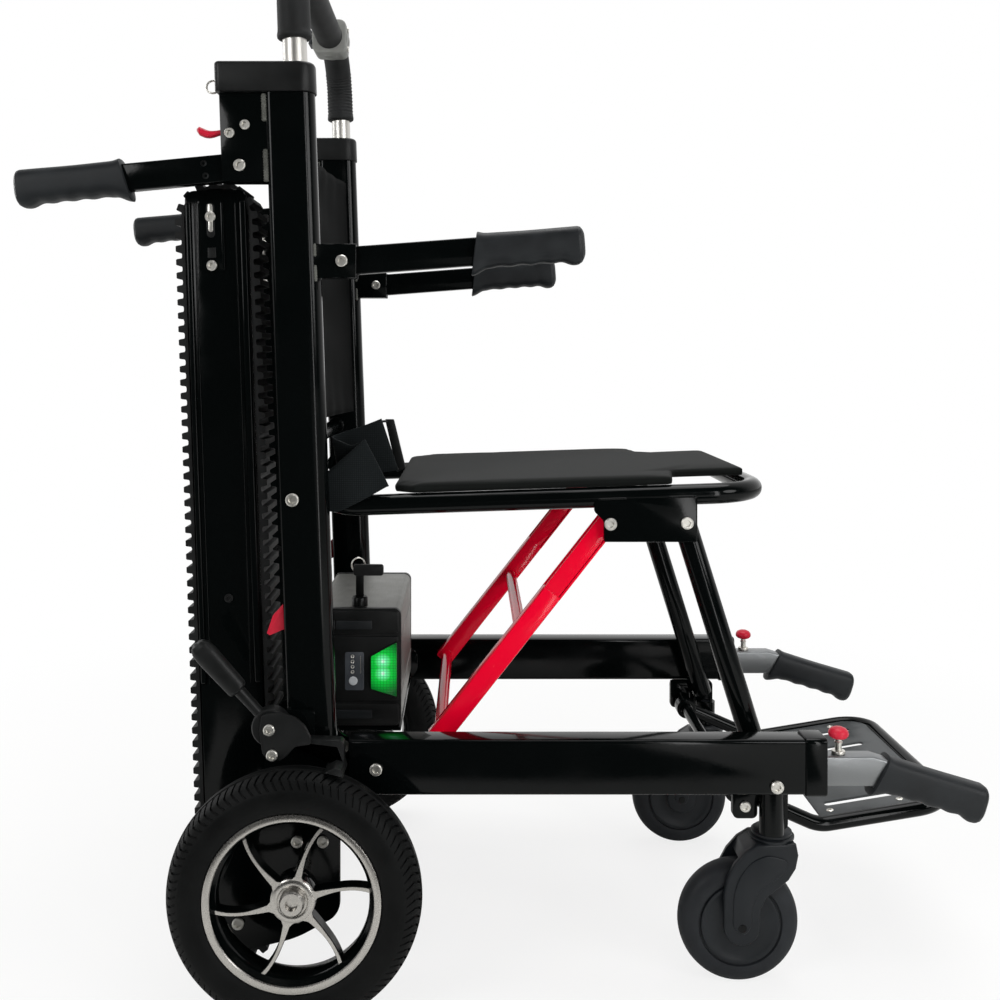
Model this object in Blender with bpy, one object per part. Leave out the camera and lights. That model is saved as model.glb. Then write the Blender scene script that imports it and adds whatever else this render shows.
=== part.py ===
# Stair climbing chair: a folding transit chair with a pair of powered crawler tracks behind it.
# Metres, +Z up, +X the way the sitter faces, the sitter's right at -Y, ground at Z = 0.
# X is measured from a datum plane 176.5 mm ahead of the main axle. The finished chair is then
# shifted so that its origin is the middle of its footprint.
import math

import bmesh
import bpy
from mathutils import Vector

# Gaps
RUN = 0.0003            # between faces that touch
PLAY = 0.0003           # round a pin in its hole

# Main wheels
WHEEL_RADIUS = 0.127
TYRE_WIDTH = 0.050
TYRE_DEPTH = 0.0385
WHEEL_Y = 0.246
AXLE_X = -0.1765
AXLE_RADIUS = 0.0075
HUB_RADIUS = 0.0235
SPOKES = 6
SPOKE_WIDTH = 0.013
RIM_WALL = 0.010
HUB_WIDTH = 0.030
SPOKE_THICK = 0.010
SPOKE_DISH = 0.003
SPOKE_ROOT = 0.019      # from the axle to the spoke's buried end
HUB_SIDES = 16
TYRE_SHOULDER_SHARES = [(0.84, 0.0), (1.0, 0.30), (0.94, 0.72), (0.60, 0.935)]   # of half width, depth
AXLE_HEAD = 0.007
AXLE_HEAD_RADIUS = 0.012

# Posts
SIDE_Y = 0.200
POST_DEPTH = 0.050
POST_WIDTH = 0.030
POST_WALL = 0.002
POST_FOOT_Z = 0.263
POST_TOP_Z = 0.9323
POST_X = -0.166         # centre line at the datum height
POST_DATUM_Z = 0.310
POST_LEAN = math.radians(2.02)
PLATE = 0.004           # gusset and arm bracket plates
GUSSET_REACH = 0.072
GUSSET_HEIGHT = 0.0913
GUSSET_FOOT_Z = POST_TOP_Z - GUSSET_HEIGHT
CAP_HEIGHT = 0.031
CAP_REAR = 0.0755
CAP_WIDTH = 0.036
PIN_RADIUS = 0.005
BASE_PLATE = 0.0065
BASE_PLATE_Y = 0.177    # inner face of the base plate
CROSSBAR_RADIUS = 0.010
CROSSBAR_Z = 0.565
CROSSBAR_BACK = 0.014
WELD = 0.0065            # a plate's reach into the post's round end
BOLT_RISE = 0.0015
BOSS_RADIUS = 0.015
BOSS_RISE = 0.003
BOSS_SINK = 0.0018      # into the post's wall
ARM_BRACKET_HEIGHT = 0.035
CAP_FRONT_RISE = 0.0015
CAP_ROUND = 0.006
BASE_OUTLINE = [(-0.075, 0.258), (-0.075, 0.222), (-0.139, 0.200), (-0.139, 0.075), (-0.185, 0.050),
                (-0.235, 0.038), (-0.268, 0.050), (-0.275, 0.085), (-0.225, 0.200), (-0.205, 0.300),
                (-0.150, 0.300), (-0.140, 0.262)]

# Push handle
HANDLE_RADIUS = 0.0125
HANDLE_FORWARD = 0.006
HANDLE_FOOT_Z = 0.660
HANDLE_RISE = 0.1167     # of its top bar above the caps
HANDLE_TOP_Z = POST_TOP_Z + CAP_HEIGHT + HANDLE_RISE
HANDLE_BEND = 0.060
PUSH_GRIP_RADIUS = 0.017
PUSH_GRIP_GAP = 0.0257   # between cap and grip
POD_Y = (0.098, 0.136)
POD_SIZE = 0.044
POD_ROUND = 0.0088
SWITCH_LENGTH = 0.024
SWITCH_HEIGHT = 0.018
SWITCH_RISE = 0.006
SWITCH_WAIST = 0.0045
SWITCH_ROCK = math.radians(8.0)
SWITCH_MARGIN = math.radians(1.5)

# Hand grips of the rear handles, arm rests and lift handles
GRIP_LENGTH = 0.114
GRIP_HEIGHT = 0.035
GRIP_WIDTH = 0.030
FINGER_DEPTH = 0.003
FINGERS = 4
GRIP_ROUND = 0.011
GRIP_NECK = 0.005        # from the flange to the first finger hollow
GRIP_END_SHARE = 0.75    # of the section, at the rounded end
FLANGE = 0.010
FLANGE_DROP = 0.006
TANG_HEIGHT = 0.018
TANG_LENGTH = 0.084

# Rear carrying handles
REAR_DROP = 0.0748        # below the post's top
REAR_PIVOT = (-0.2385, POST_TOP_Z - REAR_DROP)
REAR_BAR_HEIGHT = 0.0285
REAR_BAR_WIDTH = 0.015
REAR_BAR_LENGTH = 0.1195
REAR_TILT = math.radians(5.5)
RELEASE_DROP = 0.0418
RELEASE_PIVOT = (-0.2488, POST_TOP_Z - RELEASE_DROP)
RELEASE_REACH = 0.0332
RELEASE_LIFT = 0.004
RELEASE_END = (RELEASE_PIVOT[0] - RELEASE_REACH, RELEASE_PIVOT[1] + RELEASE_LIFT)
RELEASE_PIN = 0.0025
RELEASE_HEIGHT = 0.009
RELEASE_WIDTH = 0.014

# Arm rests
ARM_PIVOT = (-0.134, 0.7595)
ARM_BAR_HEIGHT = 0.029
ARM_BAR_WIDTH = 0.015
ARM_BAR_LENGTH = 0.1365
ARM_TILT = math.radians(4.3)
ARM_BRACKET_FRONT_X = -0.119

# Folding seat: a parallelogram of post, seat, leg and rail
SEAT_PIVOT = (-0.184, 0.515)
SEAT_LINK = (0.410, -0.029)      # seat pivot to leg pivot, and rail pivot to leg foot
RAIL_PIVOT = (-0.0985, 0.2395)
STRUT_PIVOT = (0.1455, 0.485)
STRUT_FOOT = (-0.0345, 0.2565)
LEG_HEAD = (SEAT_PIVOT[0] + SEAT_LINK[0], SEAT_PIVOT[1] + SEAT_LINK[1])
LEG_FOOT = (RAIL_PIVOT[0] + SEAT_LINK[0], RAIL_PIVOT[1] + SEAT_LINK[1])
SEAT_TUBE_RADIUS = 0.011
SEAT_TUBE_Y = 0.170
SEAT_BEND = 0.055
SEAT_LOW = (-0.130, 0.503)
SEAT_FRONT = (0.309, 0.5175)
SEAT_BRACKET_X = (0.1285, 0.2370)
SEAT_BRACKET_FOOT_Z = 0.466
SEAT_BRACKET_Y = 0.1765
SEAT_BRACKET = 0.005
EYE_RADIUS = 0.0135
EYE_WIDTH = 0.028
EYE_TUBE_START = 0.0101  # from the eye's middle to the tube's buried end
PAD_THICKNESS = 0.0135
PAD_REAR_X = -0.088
PAD_WIDE_X = 0.2137
PAD_STEP_X = 0.226
PAD_FRONT_X = 0.306
PAD_HALF_WIDTH = 0.179
PAD_TONGUE_HALF_WIDTH = 0.115
BELT_WIDTH = 0.046
BELT_OUTLINE = [(-0.104, 0.0), (-0.084, 0.030), (-0.078, 0.068), (-0.108, 0.076), (-0.150, 0.040),
                (-0.148, 0.012)]
LEG_RADIUS = 0.0125
LEG_Y = 0.1637
LEG_END = 0.010
STRUT_SIZE = 0.020
STRUT_Y = 0.157
STRUT_BAR_SIZE = 0.014
STRUT_BAR_SHARE = 0.52           # upper cross bar, as a share of the way down the strut

# Lower frame
RAIL_WIDTH = 0.030
RAIL_Z = (0.2125, 0.269)
RAIL_WALL = 0.002
RAIL_X = (-0.1265, 0.341)
COLLAR_LENGTH = 0.022
COLLAR_RISE = 0.0015
RAIL_EDGE = 0.004
LEG_PLAY = 0.0008       # round the leg's foot pin
LUG_Y = (0.1768, 0.1862)
LUG_HALF = 0.0153       # beside the caster stem
LUG_FOOT_Z = 0.165
LUG_NECK_Z = 0.2005
LUG_HEAD_Z = 0.235
EAR_HALF = 0.013        # round the footrest's rod
EAR_CORNER = 0.006
FOOTREST_PIVOT = (0.286, 0.190)
FOOTREST_ROD_RADIUS = 0.007

# Footrest
FOOT_TUBE_RADIUS = 0.008
FOOT_TUBE_Y = 0.138
FOOT_KNEE = (0.378, 0.150)
FOOT_FRONT = (0.525, 0.174)
FOOT_BEND = 0.040
FOOT_PLATE = 0.003
FOOT_PLATE_RUN = (0.010, 0.140)  # along the tubes, from the knee
FOOT_PLATE_MARGIN = 0.012
FOOT_SLEEVE = 0.005
FOOT_SLEEVE_REACH = 0.0096
FOOT_SLOTS = 5
FOOT_SLOT_WIDTH = 0.009

# Lift handles
LIFT_BAR_HEIGHT = 0.031
LIFT_BAR_WIDTH = 0.020
LIFT_BAR_Z = 0.235
LIFT_REAR_X = 0.130
LIFT_BEND_X = 0.410
LIFT_TILT = math.radians(17.0)
LIFT_TAIL = 0.010                # from the bend to the grip
KNOB_X = 0.379
KNOB_RADIUS = 0.010
KNOB_STEM_RADIUS = 0.004
KNOB_HEIGHT = 0.028
KNOB_FOOT = 0.003
KNOB_FOOT_RADIUS = 0.007
KNOB_NECK = 0.0168
KNOB_DOME = 0.0042
KNOB_CROWN_RADIUS = 0.005

# Casters
CASTER_RADIUS = 0.0635
CASTER_WIDTH = 0.032
CASTER_SIDE_RADIUS = 0.0508
CASTER_TREAD = 0.0144
CASTER_STEM_X = 0.3188
CASTER_Y = 0.166
CASTER_TRAIL = 0.0365
STEM_TUBE_RADIUS = 0.0125
STEM_RADIUS = 0.006
STEM_TUBE_Z = (0.160, 0.190)
FORK_ARM = 0.006
FORK_SIDE_GAP = 0.001
FORK_CROWN = 0.018
CASTER_AXLE_RADIUS = 0.005
FORK_TOP_GAP = 0.0035
FORK_ARM_RADIUS = 0.014
FORK_COLLAR_RADIUS = 0.019
FORK_HEAD_BACK = 0.0112  # from the stem to the arm's upper end
FORK_CROWN_FRONT = 0.0114

# Crawler tracks
TRACK_FOOT = (-0.246, 0.066)
TRACK_HEAD = (-0.271, 0.805)
TRACK_WIDTH = 0.054
TRACK_SIDE_GAP = 0.003           # to the base plates
TRACK_Y = BASE_PLATE_Y - TRACK_SIDE_GAP - TRACK_WIDTH / 2
ROLLER_RADIUS = 0.0328
ROLLER_SIDES = 20
CHEEK = 0.004                    # side plates of a track
CHEEK_HALF_DEPTH = 0.033
BELT_INNER = 0.0342
BELT_THICKNESS = 0.0035
TOOTH_HEIGHT = 0.0065
TOOTH_PITCH = 0.0142
SHAFT_RADIUS = 0.006
TRACK_CORE_DEPTH = 0.054
TRACK_BAR = 0.004                # the bars that the belt runs over
TRACK_CORE_GAP = 0.010
BELT_EDGE = 0.0025               # from a belt's edge to the side plate
SPREADER_SHARE = 0.62            # up the track
SPREADER_RADIUS = 0.010
GEARBOX_HALF_WIDTH = 0.045
GEARBOX_RADIUS = 0.034
MOTOR_RADIUS = 0.036
MOTOR_SIDE_GAP = 0.008           # to the belts
MOTOR_AT = (-0.238, 0.152)

# Parking brake
BRAKE_PIVOT = (-0.203, 0.2885)
BRAKE_PLATE = 0.005
BRAKE_LEVER_WIDTH = 0.016
BRAKE_ARM = 0.010
BRAKE_GRIP_RADIUS = 0.0105
BRAKE_GRIP_END = (-0.279, 0.372)
BRAKE_SHOE_X = -0.139
BRAKE_SHOE_SIZE = 0.016
BRAKE_HUB_RADIUS = 0.0125
BRAKE_GAP = 0.0006
BRAKE_SHOE_PAST = 0.0125         # past the middle of the tyre
BRAKE_RING_SHARES = ((0.075, 0.55), (0.36, 0.6), (0.44, 1.0), (0.94, 1.0), (1.0, 0.5))  # length, radius
BRAKE_OUTLINE = [(-0.222, 0.280), (-0.210, 0.259), (-0.160, 0.259), (-0.160, 0.302), (-0.210, 0.302)]

# Battery
BATTERY_X = (-0.180, -0.080)
BATTERY_Z = (0.2455, 0.378)
BATTERY_HALF_WIDTH = 0.105
BATTERY_EDGE = 0.004
TRAY = 0.004
TRAY_BAR_X = -0.158
TRAY_BAR_RADIUS = 0.010
TRAY_BAR_SINK = 0.0012
LAMP_OUTLINE = [(-0.1135, 0.289), (-0.0845, 0.280), (-0.0845, 0.341), (-0.1135, 0.325)]
LAMP_RISE = 0.003
BUTTON_AT = (-0.1335, 0.2975)
BUTTON_RADIUS = 0.005
BUTTON_RISE = 0.0015
BUTTON_POCKET = 0.005
BUTTON_TRAVEL = 0.001
KEY_AT = (-0.128, -0.086)
KEY_RADIUS = 0.009
KEY_BARREL = 0.010
KEY_HEIGHT = 0.040
KEY_BOW = 0.008
KEY_THICK = 0.003

# Back rest
BACK_Z = (0.585, 0.900)
BACK_FORWARD = 0.012
BACK_SAG = 0.018
BACK_THICKNESS = 0.006
BACK_STEPS = 8

FINISHES = {
    'gloss black paint': ('#0b0c0d', 0.18, 0.0),
    'black plastic': ('#232426', 0.50, 0.0),
    'grey plastic': ('#3a3c3e', 0.60, 0.0),
    'black rubber': ('#121213', 0.75, 0.0),
    'black fabric': ('#101011', 0.90, 0.0),
    'chrome': ('#d2d3d2', 0.18, 1.0),
    'aluminium': ('#b9babb', 0.35, 1.0),
    'black steel': ('#18191a', 0.35, 0.6),
    'red paint': ('#c8102e', 0.25, 0.0),
    'red plastic': ('#b3121d', 0.40, 0.0),
    'green lens': ('#18d05a', 0.25, 0.0),
}

TUBE_SIDES = 10
WHEEL_SIDES = 28
pivots = {}


def post_x(z):
    return POST_X - (z - POST_DATUM_Z) * math.tan(POST_LEAN)


def hole_radius(radius, play=PLAY):
    # The flats of a hole's polygon clear the corners of the pin's.
    return (radius + play) / math.cos(math.pi / TUBE_SIDES)


def linear(channel):
    return channel / 12.92 if channel <= 0.04045 else ((channel + 0.055) / 1.055) ** 2.4


def material(name, finish):
    code, roughness, metallic = FINISHES[finish]
    rgb = [linear(int(code[i:i + 2], 16) / 255) for i in (1, 3, 5)]
    made = bpy.data.materials.new(name)
    made.use_nodes = True
    shader = made.node_tree.nodes['Principled BSDF']
    shader.inputs['Base Color'].default_value = (*rgb, 1.0)
    shader.inputs['Roughness'].default_value = roughness
    shader.inputs['Metallic'].default_value = metallic
    return made


def add_pivot(name, at, parent=None):
    empty = bpy.data.objects.new(name, None)
    bpy.context.scene.collection.objects.link(empty)
    at = Vector(at)
    empty.location = at - (pivots[parent][1] if parent else Vector())
    empty.parent = pivots[parent][0] if parent else None
    pivots[name] = (empty, at)


def add_part(name, shape, finish, pivot):
    empty, at = pivots[pivot]
    bmesh.ops.recalc_face_normals(shape, faces=shape.faces)
    if shape.calc_volume(signed=True) < 0:
        bmesh.ops.reverse_faces(shape, faces=shape.faces)
    bmesh.ops.translate(shape, verts=shape.verts, vec=-at)
    mesh = bpy.data.meshes.new(name)
    shape.to_mesh(mesh)
    shape.free()
    mesh.materials.append(material(name, finish))
    mesh.shade_smooth()
    mesh.set_sharp_from_angle(angle=math.radians(35))
    part = bpy.data.objects.new(name, mesh)
    part.parent = empty
    bpy.context.scene.collection.objects.link(part)


def side_name(side):
    return 'right' if side < 0 else 'left'


# Sections and outlines

def arc(centre, radius, start, end, steps):
    points = []
    for i in range(steps + 1):
        angle = math.radians(start + (end - start) * i / steps)
        points.append((centre[0] + radius * math.cos(angle), centre[1] + radius * math.sin(angle)))
    return points


def circle(radius, sides=TUBE_SIDES):
    return arc((0, 0), radius, 0, 360, sides)[:-1]


def stadium(depth, width, steps=4):
    flat = (depth - width) / 2
    return arc((flat, 0), width / 2, -90, 90, steps) + arc((-flat, 0), width / 2, 90, 270, steps)


def rounded_box(a, b, radius, steps=2):
    points = []
    for corner, (u, v) in enumerate(((1, 1), (-1, 1), (-1, -1), (1, -1))):
        centre = (u * (a / 2 - radius), v * (b / 2 - radius))
        points += arc(centre, radius, 90 * corner, 90 * corner + 90, steps)
    return points


def capsule(start, end, radius, steps=6):
    tilt = math.degrees(math.atan2(end[1] - start[1], end[0] - start[0]))
    return arc(end, radius, tilt - 90, tilt + 90, steps) + arc(start, radius, tilt + 90, tilt + 270, steps)


# Solids

def loft(rings, loop=False):
    shape = bmesh.new()
    rows = [[shape.verts.new(point) for point in ring] for ring in rings]
    count = len(rows[0])
    pairs = list(zip(rows, rows[1:]))
    if loop:
        pairs.append((rows[-1], rows[0]))
    else:
        shape.faces.new(rows[0])
        shape.faces.new(rows[-1])
    for low, high in pairs:
        for i in range(count):
            j = (i + 1) % count
            shape.faces.new((low[i], low[j], high[j], high[i]))
    return shape


def prism(outline, y_from, y_to):
    shape = bmesh.new()
    face = shape.faces.new([shape.verts.new((x, y_from, z)) for x, z in outline])
    grown = bmesh.ops.extrude_face_region(shape, geom=[face])['geom']
    moved = [item for item in grown if isinstance(item, bmesh.types.BMVert)]
    bmesh.ops.translate(shape, verts=moved, vec=(0, y_to - y_from, 0))
    return shape


def block(low, high, edge=0.0):
    shape = bmesh.new()
    bmesh.ops.create_cube(shape, size=1.0)
    low, high = Vector(low), Vector(high)
    bmesh.ops.scale(shape, verts=shape.verts, vec=high - low)
    bmesh.ops.translate(shape, verts=shape.verts, vec=(low + high) / 2)
    if edge:
        bmesh.ops.bevel(shape, geom=shape.edges, offset=edge, segments=2, profile=0.5,
                        affect='EDGES', material=-1)
    return shape


def turned(profile, at, sides, axis='Y', ring=False):
    # The profile is (distance along the axis, radius). It starts at the lowest point of a wheel.
    shape = bmesh.new()
    along = Vector((0, 1, 0)) if axis == 'Y' else Vector((0, 0, 1))
    out = Vector((0, 0, -1)) if axis == 'Y' else Vector((1, 0, 0))
    line = [shape.verts.new(Vector(at) + along * step + out * radius) for step, radius in profile]
    edges = [shape.edges.new(pair) for pair in zip(line, line[1:])]
    if ring:
        edges.append(shape.edges.new((line[-1], line[0])))
    bmesh.ops.spin(shape, geom=line + edges, cent=at, axis=along, angle=math.tau, steps=sides,
                   use_merge=True)
    bmesh.ops.remove_doubles(shape, verts=shape.verts, dist=1e-6)
    return shape


def rod(at, radius, y_from, y_to, sides=TUBE_SIDES):
    return turned([(y_from, 0), (y_from, radius), (y_to, radius), (y_to, 0)], (at[0], 0, at[1]), sides)


def sweep_rings(path, section, normal):
    # Section point (a, b): a across the bend, b along the normal of the path's plane.
    rings = []
    normal = Vector(normal).normalized()
    for i, point in enumerate(path):
        before = (point - path[i - 1]).normalized() if i else None
        after = (path[i + 1] - point).normalized() if i + 1 < len(path) else None
        tangent = ((before or after) + (after or before)).normalized()
        mitre = 1 / tangent.dot(after or before)
        across = normal.cross(tangent).normalized()
        rise = tangent.cross(across)
        rings.append([point + across * a * mitre + rise * b for a, b in section])
    return rings


def bent_path(corners, radius, steps=5):
    # Straight runs through the corners, with an arc at each inner corner.
    path = [corners[0]]
    for before, corner, after in zip(corners, corners[1:], corners[2:]):
        inward, outward = (before - corner).normalized(), (after - corner).normalized()
        half = inward.angle(outward) / 2
        reach = radius / math.tan(half)
        centre = corner + (inward + outward).normalized() * radius / math.sin(half)
        start, end = corner + inward * reach - centre, corner + outward * reach - centre
        path += [centre + start.slerp(end, i / steps) * radius / start.slerp(end, i / steps).length
                 for i in range(steps + 1)]
    return path + [corners[-1]]


def joined(shapes, operation='UNION'):
    # The first shape with the others added to it, or cut from it.
    objects = []
    for shape in shapes:
        bmesh.ops.recalc_face_normals(shape, faces=shape.faces)
        mesh = bpy.data.meshes.new('stock')
        shape.to_mesh(mesh)
        shape.free()
        objects.append(bpy.data.objects.new('stock', mesh))
        bpy.context.scene.collection.objects.link(objects[-1])
    for tool in objects[1:]:
        step = objects[0].modifiers.new('join', 'BOOLEAN')
        step.operation = operation
        step.solver = 'EXACT'
        step.object = tool
    bpy.context.view_layer.update()
    result = bmesh.new()
    result.from_object(objects[0], bpy.context.evaluated_depsgraph_get())
    for used in objects:
        bpy.data.meshes.remove(used.data)
    bmesh.ops.remove_doubles(result, verts=result.verts, dist=2e-6)
    return result


# Shared shapes of this chair

def point_at(start, end, share):
    return (start[0] + (end[0] - start[0]) * share, start[1] + (end[1] - start[1]) * share)


def along(start, angle, run, rise=0.0):
    # A point in the XZ plane, run ahead of start at the given angle and rise above that line.
    return (start[0] + run * math.cos(angle) - rise * math.sin(angle),
            start[1] + run * math.sin(angle) + rise * math.cos(angle))


def angle_to(start, end):
    return math.atan2(end[1] - start[1], end[0] - start[0])


def ring_y(section, at, y):
    return [Vector((at[0] + a, y, at[1] + b)) for a, b in section]


def post_ring(section, depth, y, z):
    return [Vector((post_x(z) + depth + a, y + b, z)) for a, b in section]


def handle_point(y, z):
    return Vector((post_x(z) + HANDLE_FORWARD, y, z))


def bar_outline(line, height, round_start):
    # A flat bar along its centre line, with a tang at the end for its grip.
    top, bottom = [], []
    for i, point in enumerate(line):
        before = angle_to(line[i - 1], point) if i else angle_to(point, line[1])
        after = angle_to(point, line[i + 1]) if i + 1 < len(line) else before
        reach = height / 2 / math.cos((after - before) / 2)
        top.append(along(point, (before + after) / 2, 0, reach))
        bottom.append(along(point, (before + after) / 2, 0, -reach))
    tilt = angle_to(line[-2], line[-1])
    tang = [along(line[-1], tilt, run, rise) for run, rise in
            ((0, TANG_HEIGHT / 2), (TANG_LENGTH, TANG_HEIGHT / 2),
             (TANG_LENGTH, -TANG_HEIGHT / 2), (0, -TANG_HEIGHT / 2))]
    start = []
    if round_start:
        first = math.degrees(angle_to(line[0], line[1]))
        start = arc(line[0], height / 2, first - 90, first - 270, 6)[1:-1]
    return top + tang + bottom[::-1] + start


def hand_grip(mouth, angle, y, bar_width):
    # A moulded grip over the tang: a flange at the mouth, finger hollows below, a rounded end.
    upside = 1 if math.cos(angle) > 0 else -1

    def ring(section, run, drop=0.0, scale=1.0):
        points = []
        for a, b in section:
            x, z = along(mouth, angle, run, upside * (b * scale - (drop if b < 0 else 0)))
            points.append(Vector((x, y + a * scale, z)))
        return points

    outer = rounded_box(GRIP_WIDTH, GRIP_HEIGHT, GRIP_ROUND, 1)
    pocket = rounded_box(bar_width + 2 * RUN, TANG_HEIGHT + 2 * RUN, RUN, 1)
    rings = [ring(pocket, TANG_LENGTH + RUN), ring(pocket, 0), ring(outer, 0, FLANGE_DROP),
             ring(outer, FLANGE, FLANGE_DROP)]
    span = (GRIP_LENGTH - 2 * FLANGE) / (2 * FINGERS)
    for i in range(2 * FINGERS + 1):
        rings.append(ring(outer, FLANGE + GRIP_NECK + i * span, -FINGER_DEPTH * (i % 2)))
    rings.append(ring(outer, GRIP_LENGTH, 0, GRIP_END_SHARE))
    return loft(rings)


# Frame

def make_post(side):
    y = side * SIDE_Y
    outer = stadium(POST_DEPTH, POST_WIDTH)
    inner = stadium(POST_DEPTH - 2 * POST_WALL, POST_WIDTH - 2 * POST_WALL)
    shapes = [loft([post_ring(outer, 0, y, POST_FOOT_Z), post_ring(outer, 0, y, POST_TOP_Z),
                    post_ring(inner, 0, y, POST_TOP_Z), post_ring(inner, 0, y, POST_FOOT_Z)], loop=True)]
    weld = POST_DEPTH / 2 - WELD
    foot, head = post_x(GUSSET_FOOT_Z), post_x(POST_TOP_Z)
    gusset = [(foot - weld, GUSSET_FOOT_Z), (head - weld, POST_TOP_Z),
              (head - GUSSET_REACH, POST_TOP_Z), (foot - GUSSET_REACH, GUSSET_FOOT_Z)]
    low, high = ARM_PIVOT[1] - ARM_BRACKET_HEIGHT / 2, ARM_PIVOT[1] + ARM_BRACKET_HEIGHT / 2
    bracket = [(post_x(low) + weld, low), (ARM_BRACKET_FRONT_X, low),
               (ARM_BRACKET_FRONT_X, high), (post_x(high) + weld, high)]
    for sign in (-1, 1):
        shapes.append(prism(gusset, *plate_span(y, sign, REAR_BAR_WIDTH)))
        shapes.append(prism(bracket, *plate_span(y, sign, ARM_BAR_WIDTH)))
    arm_out = ARM_BAR_WIDTH / 2 + RUN + PLATE
    rear_out = REAR_BAR_WIDTH / 2 + RUN + PLATE
    shapes.append(block((post_x(low) + weld, y - arm_out + PLATE / 2, low),
                        (ARM_BRACKET_FRONT_X - PLATE / 2, y + arm_out - PLATE / 2,
                         ARM_PIVOT[1] - ARM_BAR_HEIGHT / 2 - RUN)))
    shapes.append(rod(ARM_PIVOT, PIN_RADIUS, y - arm_out - BOLT_RISE, y + arm_out + BOLT_RISE))
    shapes.append(rod(REAR_PIVOT, PIN_RADIUS, y - rear_out - BOLT_RISE, y + rear_out + BOLT_RISE))
    shapes.append(rod(RELEASE_PIVOT, RELEASE_PIN, y - rear_out - BOLT_RISE, y + rear_out + BOLT_RISE))
    plate_out = BASE_PLATE_Y + BASE_PLATE
    wall_in = SIDE_Y - POST_WIDTH / 2
    shapes.append(prism(BASE_OUTLINE, side * BASE_PLATE_Y, side * plate_out))
    boss_x = post_x(POST_FOOT_Z)
    shapes.append(prism(arc((boss_x, POST_FOOT_Z + BOSS_RADIUS + BOSS_RISE), BOSS_RADIUS, 0, 360, 10)[:-1],
                        side * (plate_out - BASE_PLATE / 2), side * (wall_in + BOSS_SINK)))
    shapes.append(rod(SEAT_PIVOT, PIN_RADIUS, side * (SEAT_TUBE_Y - EYE_WIDTH / 2),
                      side * (wall_in + 2 * POST_WALL)))
    shapes.append(rod(RAIL_PIVOT, PIN_RADIUS, side * (BASE_PLATE_Y + BASE_PLATE / 2),
                      side * (SIDE_Y + RAIL_WIDTH / 2 + BOLT_RISE)))
    wall_out = SIDE_Y + POST_WIDTH / 2
    shapes.append(prism(BRAKE_OUTLINE, side * (wall_out - POST_WALL / 2), side * (wall_out + BRAKE_PLATE)))
    shapes.append(rod(BRAKE_PIVOT, PIN_RADIUS, side * (wall_out + BRAKE_PLATE / 2),
                      side * (wall_out + BRAKE_PLATE + BRAKE_LEVER_WIDTH + BOLT_RISE)))
    solid = joined(shapes)
    through = (side * (BASE_PLATE_Y - BASE_PLATE), side * (plate_out + RUN))
    holes = [rod((AXLE_X, WHEEL_RADIUS), hole_radius(AXLE_RADIUS), *through),
             rod(TRACK_FOOT, hole_radius(SHAFT_RADIUS), *through)]
    return joined([solid] + holes, 'DIFFERENCE')


def plate_span(y, sign, between):
    inner = y + sign * (between / 2 + RUN)
    return inner, inner + sign * PLATE


def make_cap(side):
    y = side * SIDE_Y
    front = POST_DEPTH / 2 + CAP_FRONT_RISE - CAP_WIDTH / 2
    outline = arc((front, 0), CAP_WIDTH / 2, -90, 90, 6)
    for v in (1, -1):
        corner = (-CAP_REAR + CAP_ROUND, v * (CAP_WIDTH / 2 - CAP_ROUND))
        outline += arc(corner, CAP_ROUND, 90 if v > 0 else 180, 180 if v > 0 else 270, 2)
    hole = arc((HANDLE_FORWARD, 0), hole_radius(HANDLE_RADIUS), -90, 270, len(outline))[:-1]
    low, high = POST_TOP_Z + RUN, POST_TOP_Z + RUN + CAP_HEIGHT
    return loft([post_ring(outline, 0, y, low), post_ring(outline, 0, y, high),
                 post_ring(hole, 0, y, high), post_ring(hole, 0, y, low)], loop=True)


def make_frame():
    add_pivot('frame', (0, 0, 0), 'chair')
    inside = SIDE_Y - POST_WIDTH / 2 - RUN
    for side in (-1, 1):
        add_part('post_' + side_name(side), make_post(side), 'gloss black paint', 'frame')
        add_part('post_cap_' + side_name(side), make_cap(side), 'black plastic', 'frame')
    bar_at = (post_x(CROSSBAR_Z) - CROSSBAR_BACK, CROSSBAR_Z)
    add_part('crossbar', rod(bar_at, CROSSBAR_RADIUS, -inside, inside), 'gloss black paint', 'frame')
    stations = [inside * (2 * i / BACK_STEPS - 1) for i in range(BACK_STEPS + 1)]
    low, high = BACK_Z
    section = [(low, 0), (high, 0), (high, BACK_THICKNESS), (low, BACK_THICKNESS)]
    rings = []
    for y in stations:
        sag = BACK_FORWARD - BACK_SAG * (1 - (y / inside) ** 2)
        rings.append([Vector((post_x(z) + sag - back, y, z)) for z, back in section])
    add_part('back_panel', loft(rings), 'black fabric', 'frame')
    hub_out = WHEEL_Y + HUB_WIDTH / 2 + RUN
    add_part('wheel_axle', turned([(-hub_out - AXLE_HEAD, 0), (-hub_out - AXLE_HEAD, AXLE_HEAD_RADIUS),
                                   (-hub_out, AXLE_HEAD_RADIUS), (-hub_out, AXLE_RADIUS),
                                   (hub_out, AXLE_RADIUS), (hub_out, AXLE_HEAD_RADIUS),
                                   (hub_out + AXLE_HEAD, AXLE_HEAD_RADIUS), (hub_out + AXLE_HEAD, 0)],
                                  (AXLE_X, 0, WHEEL_RADIUS), TUBE_SIDES), 'aluminium', 'frame')


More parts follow.
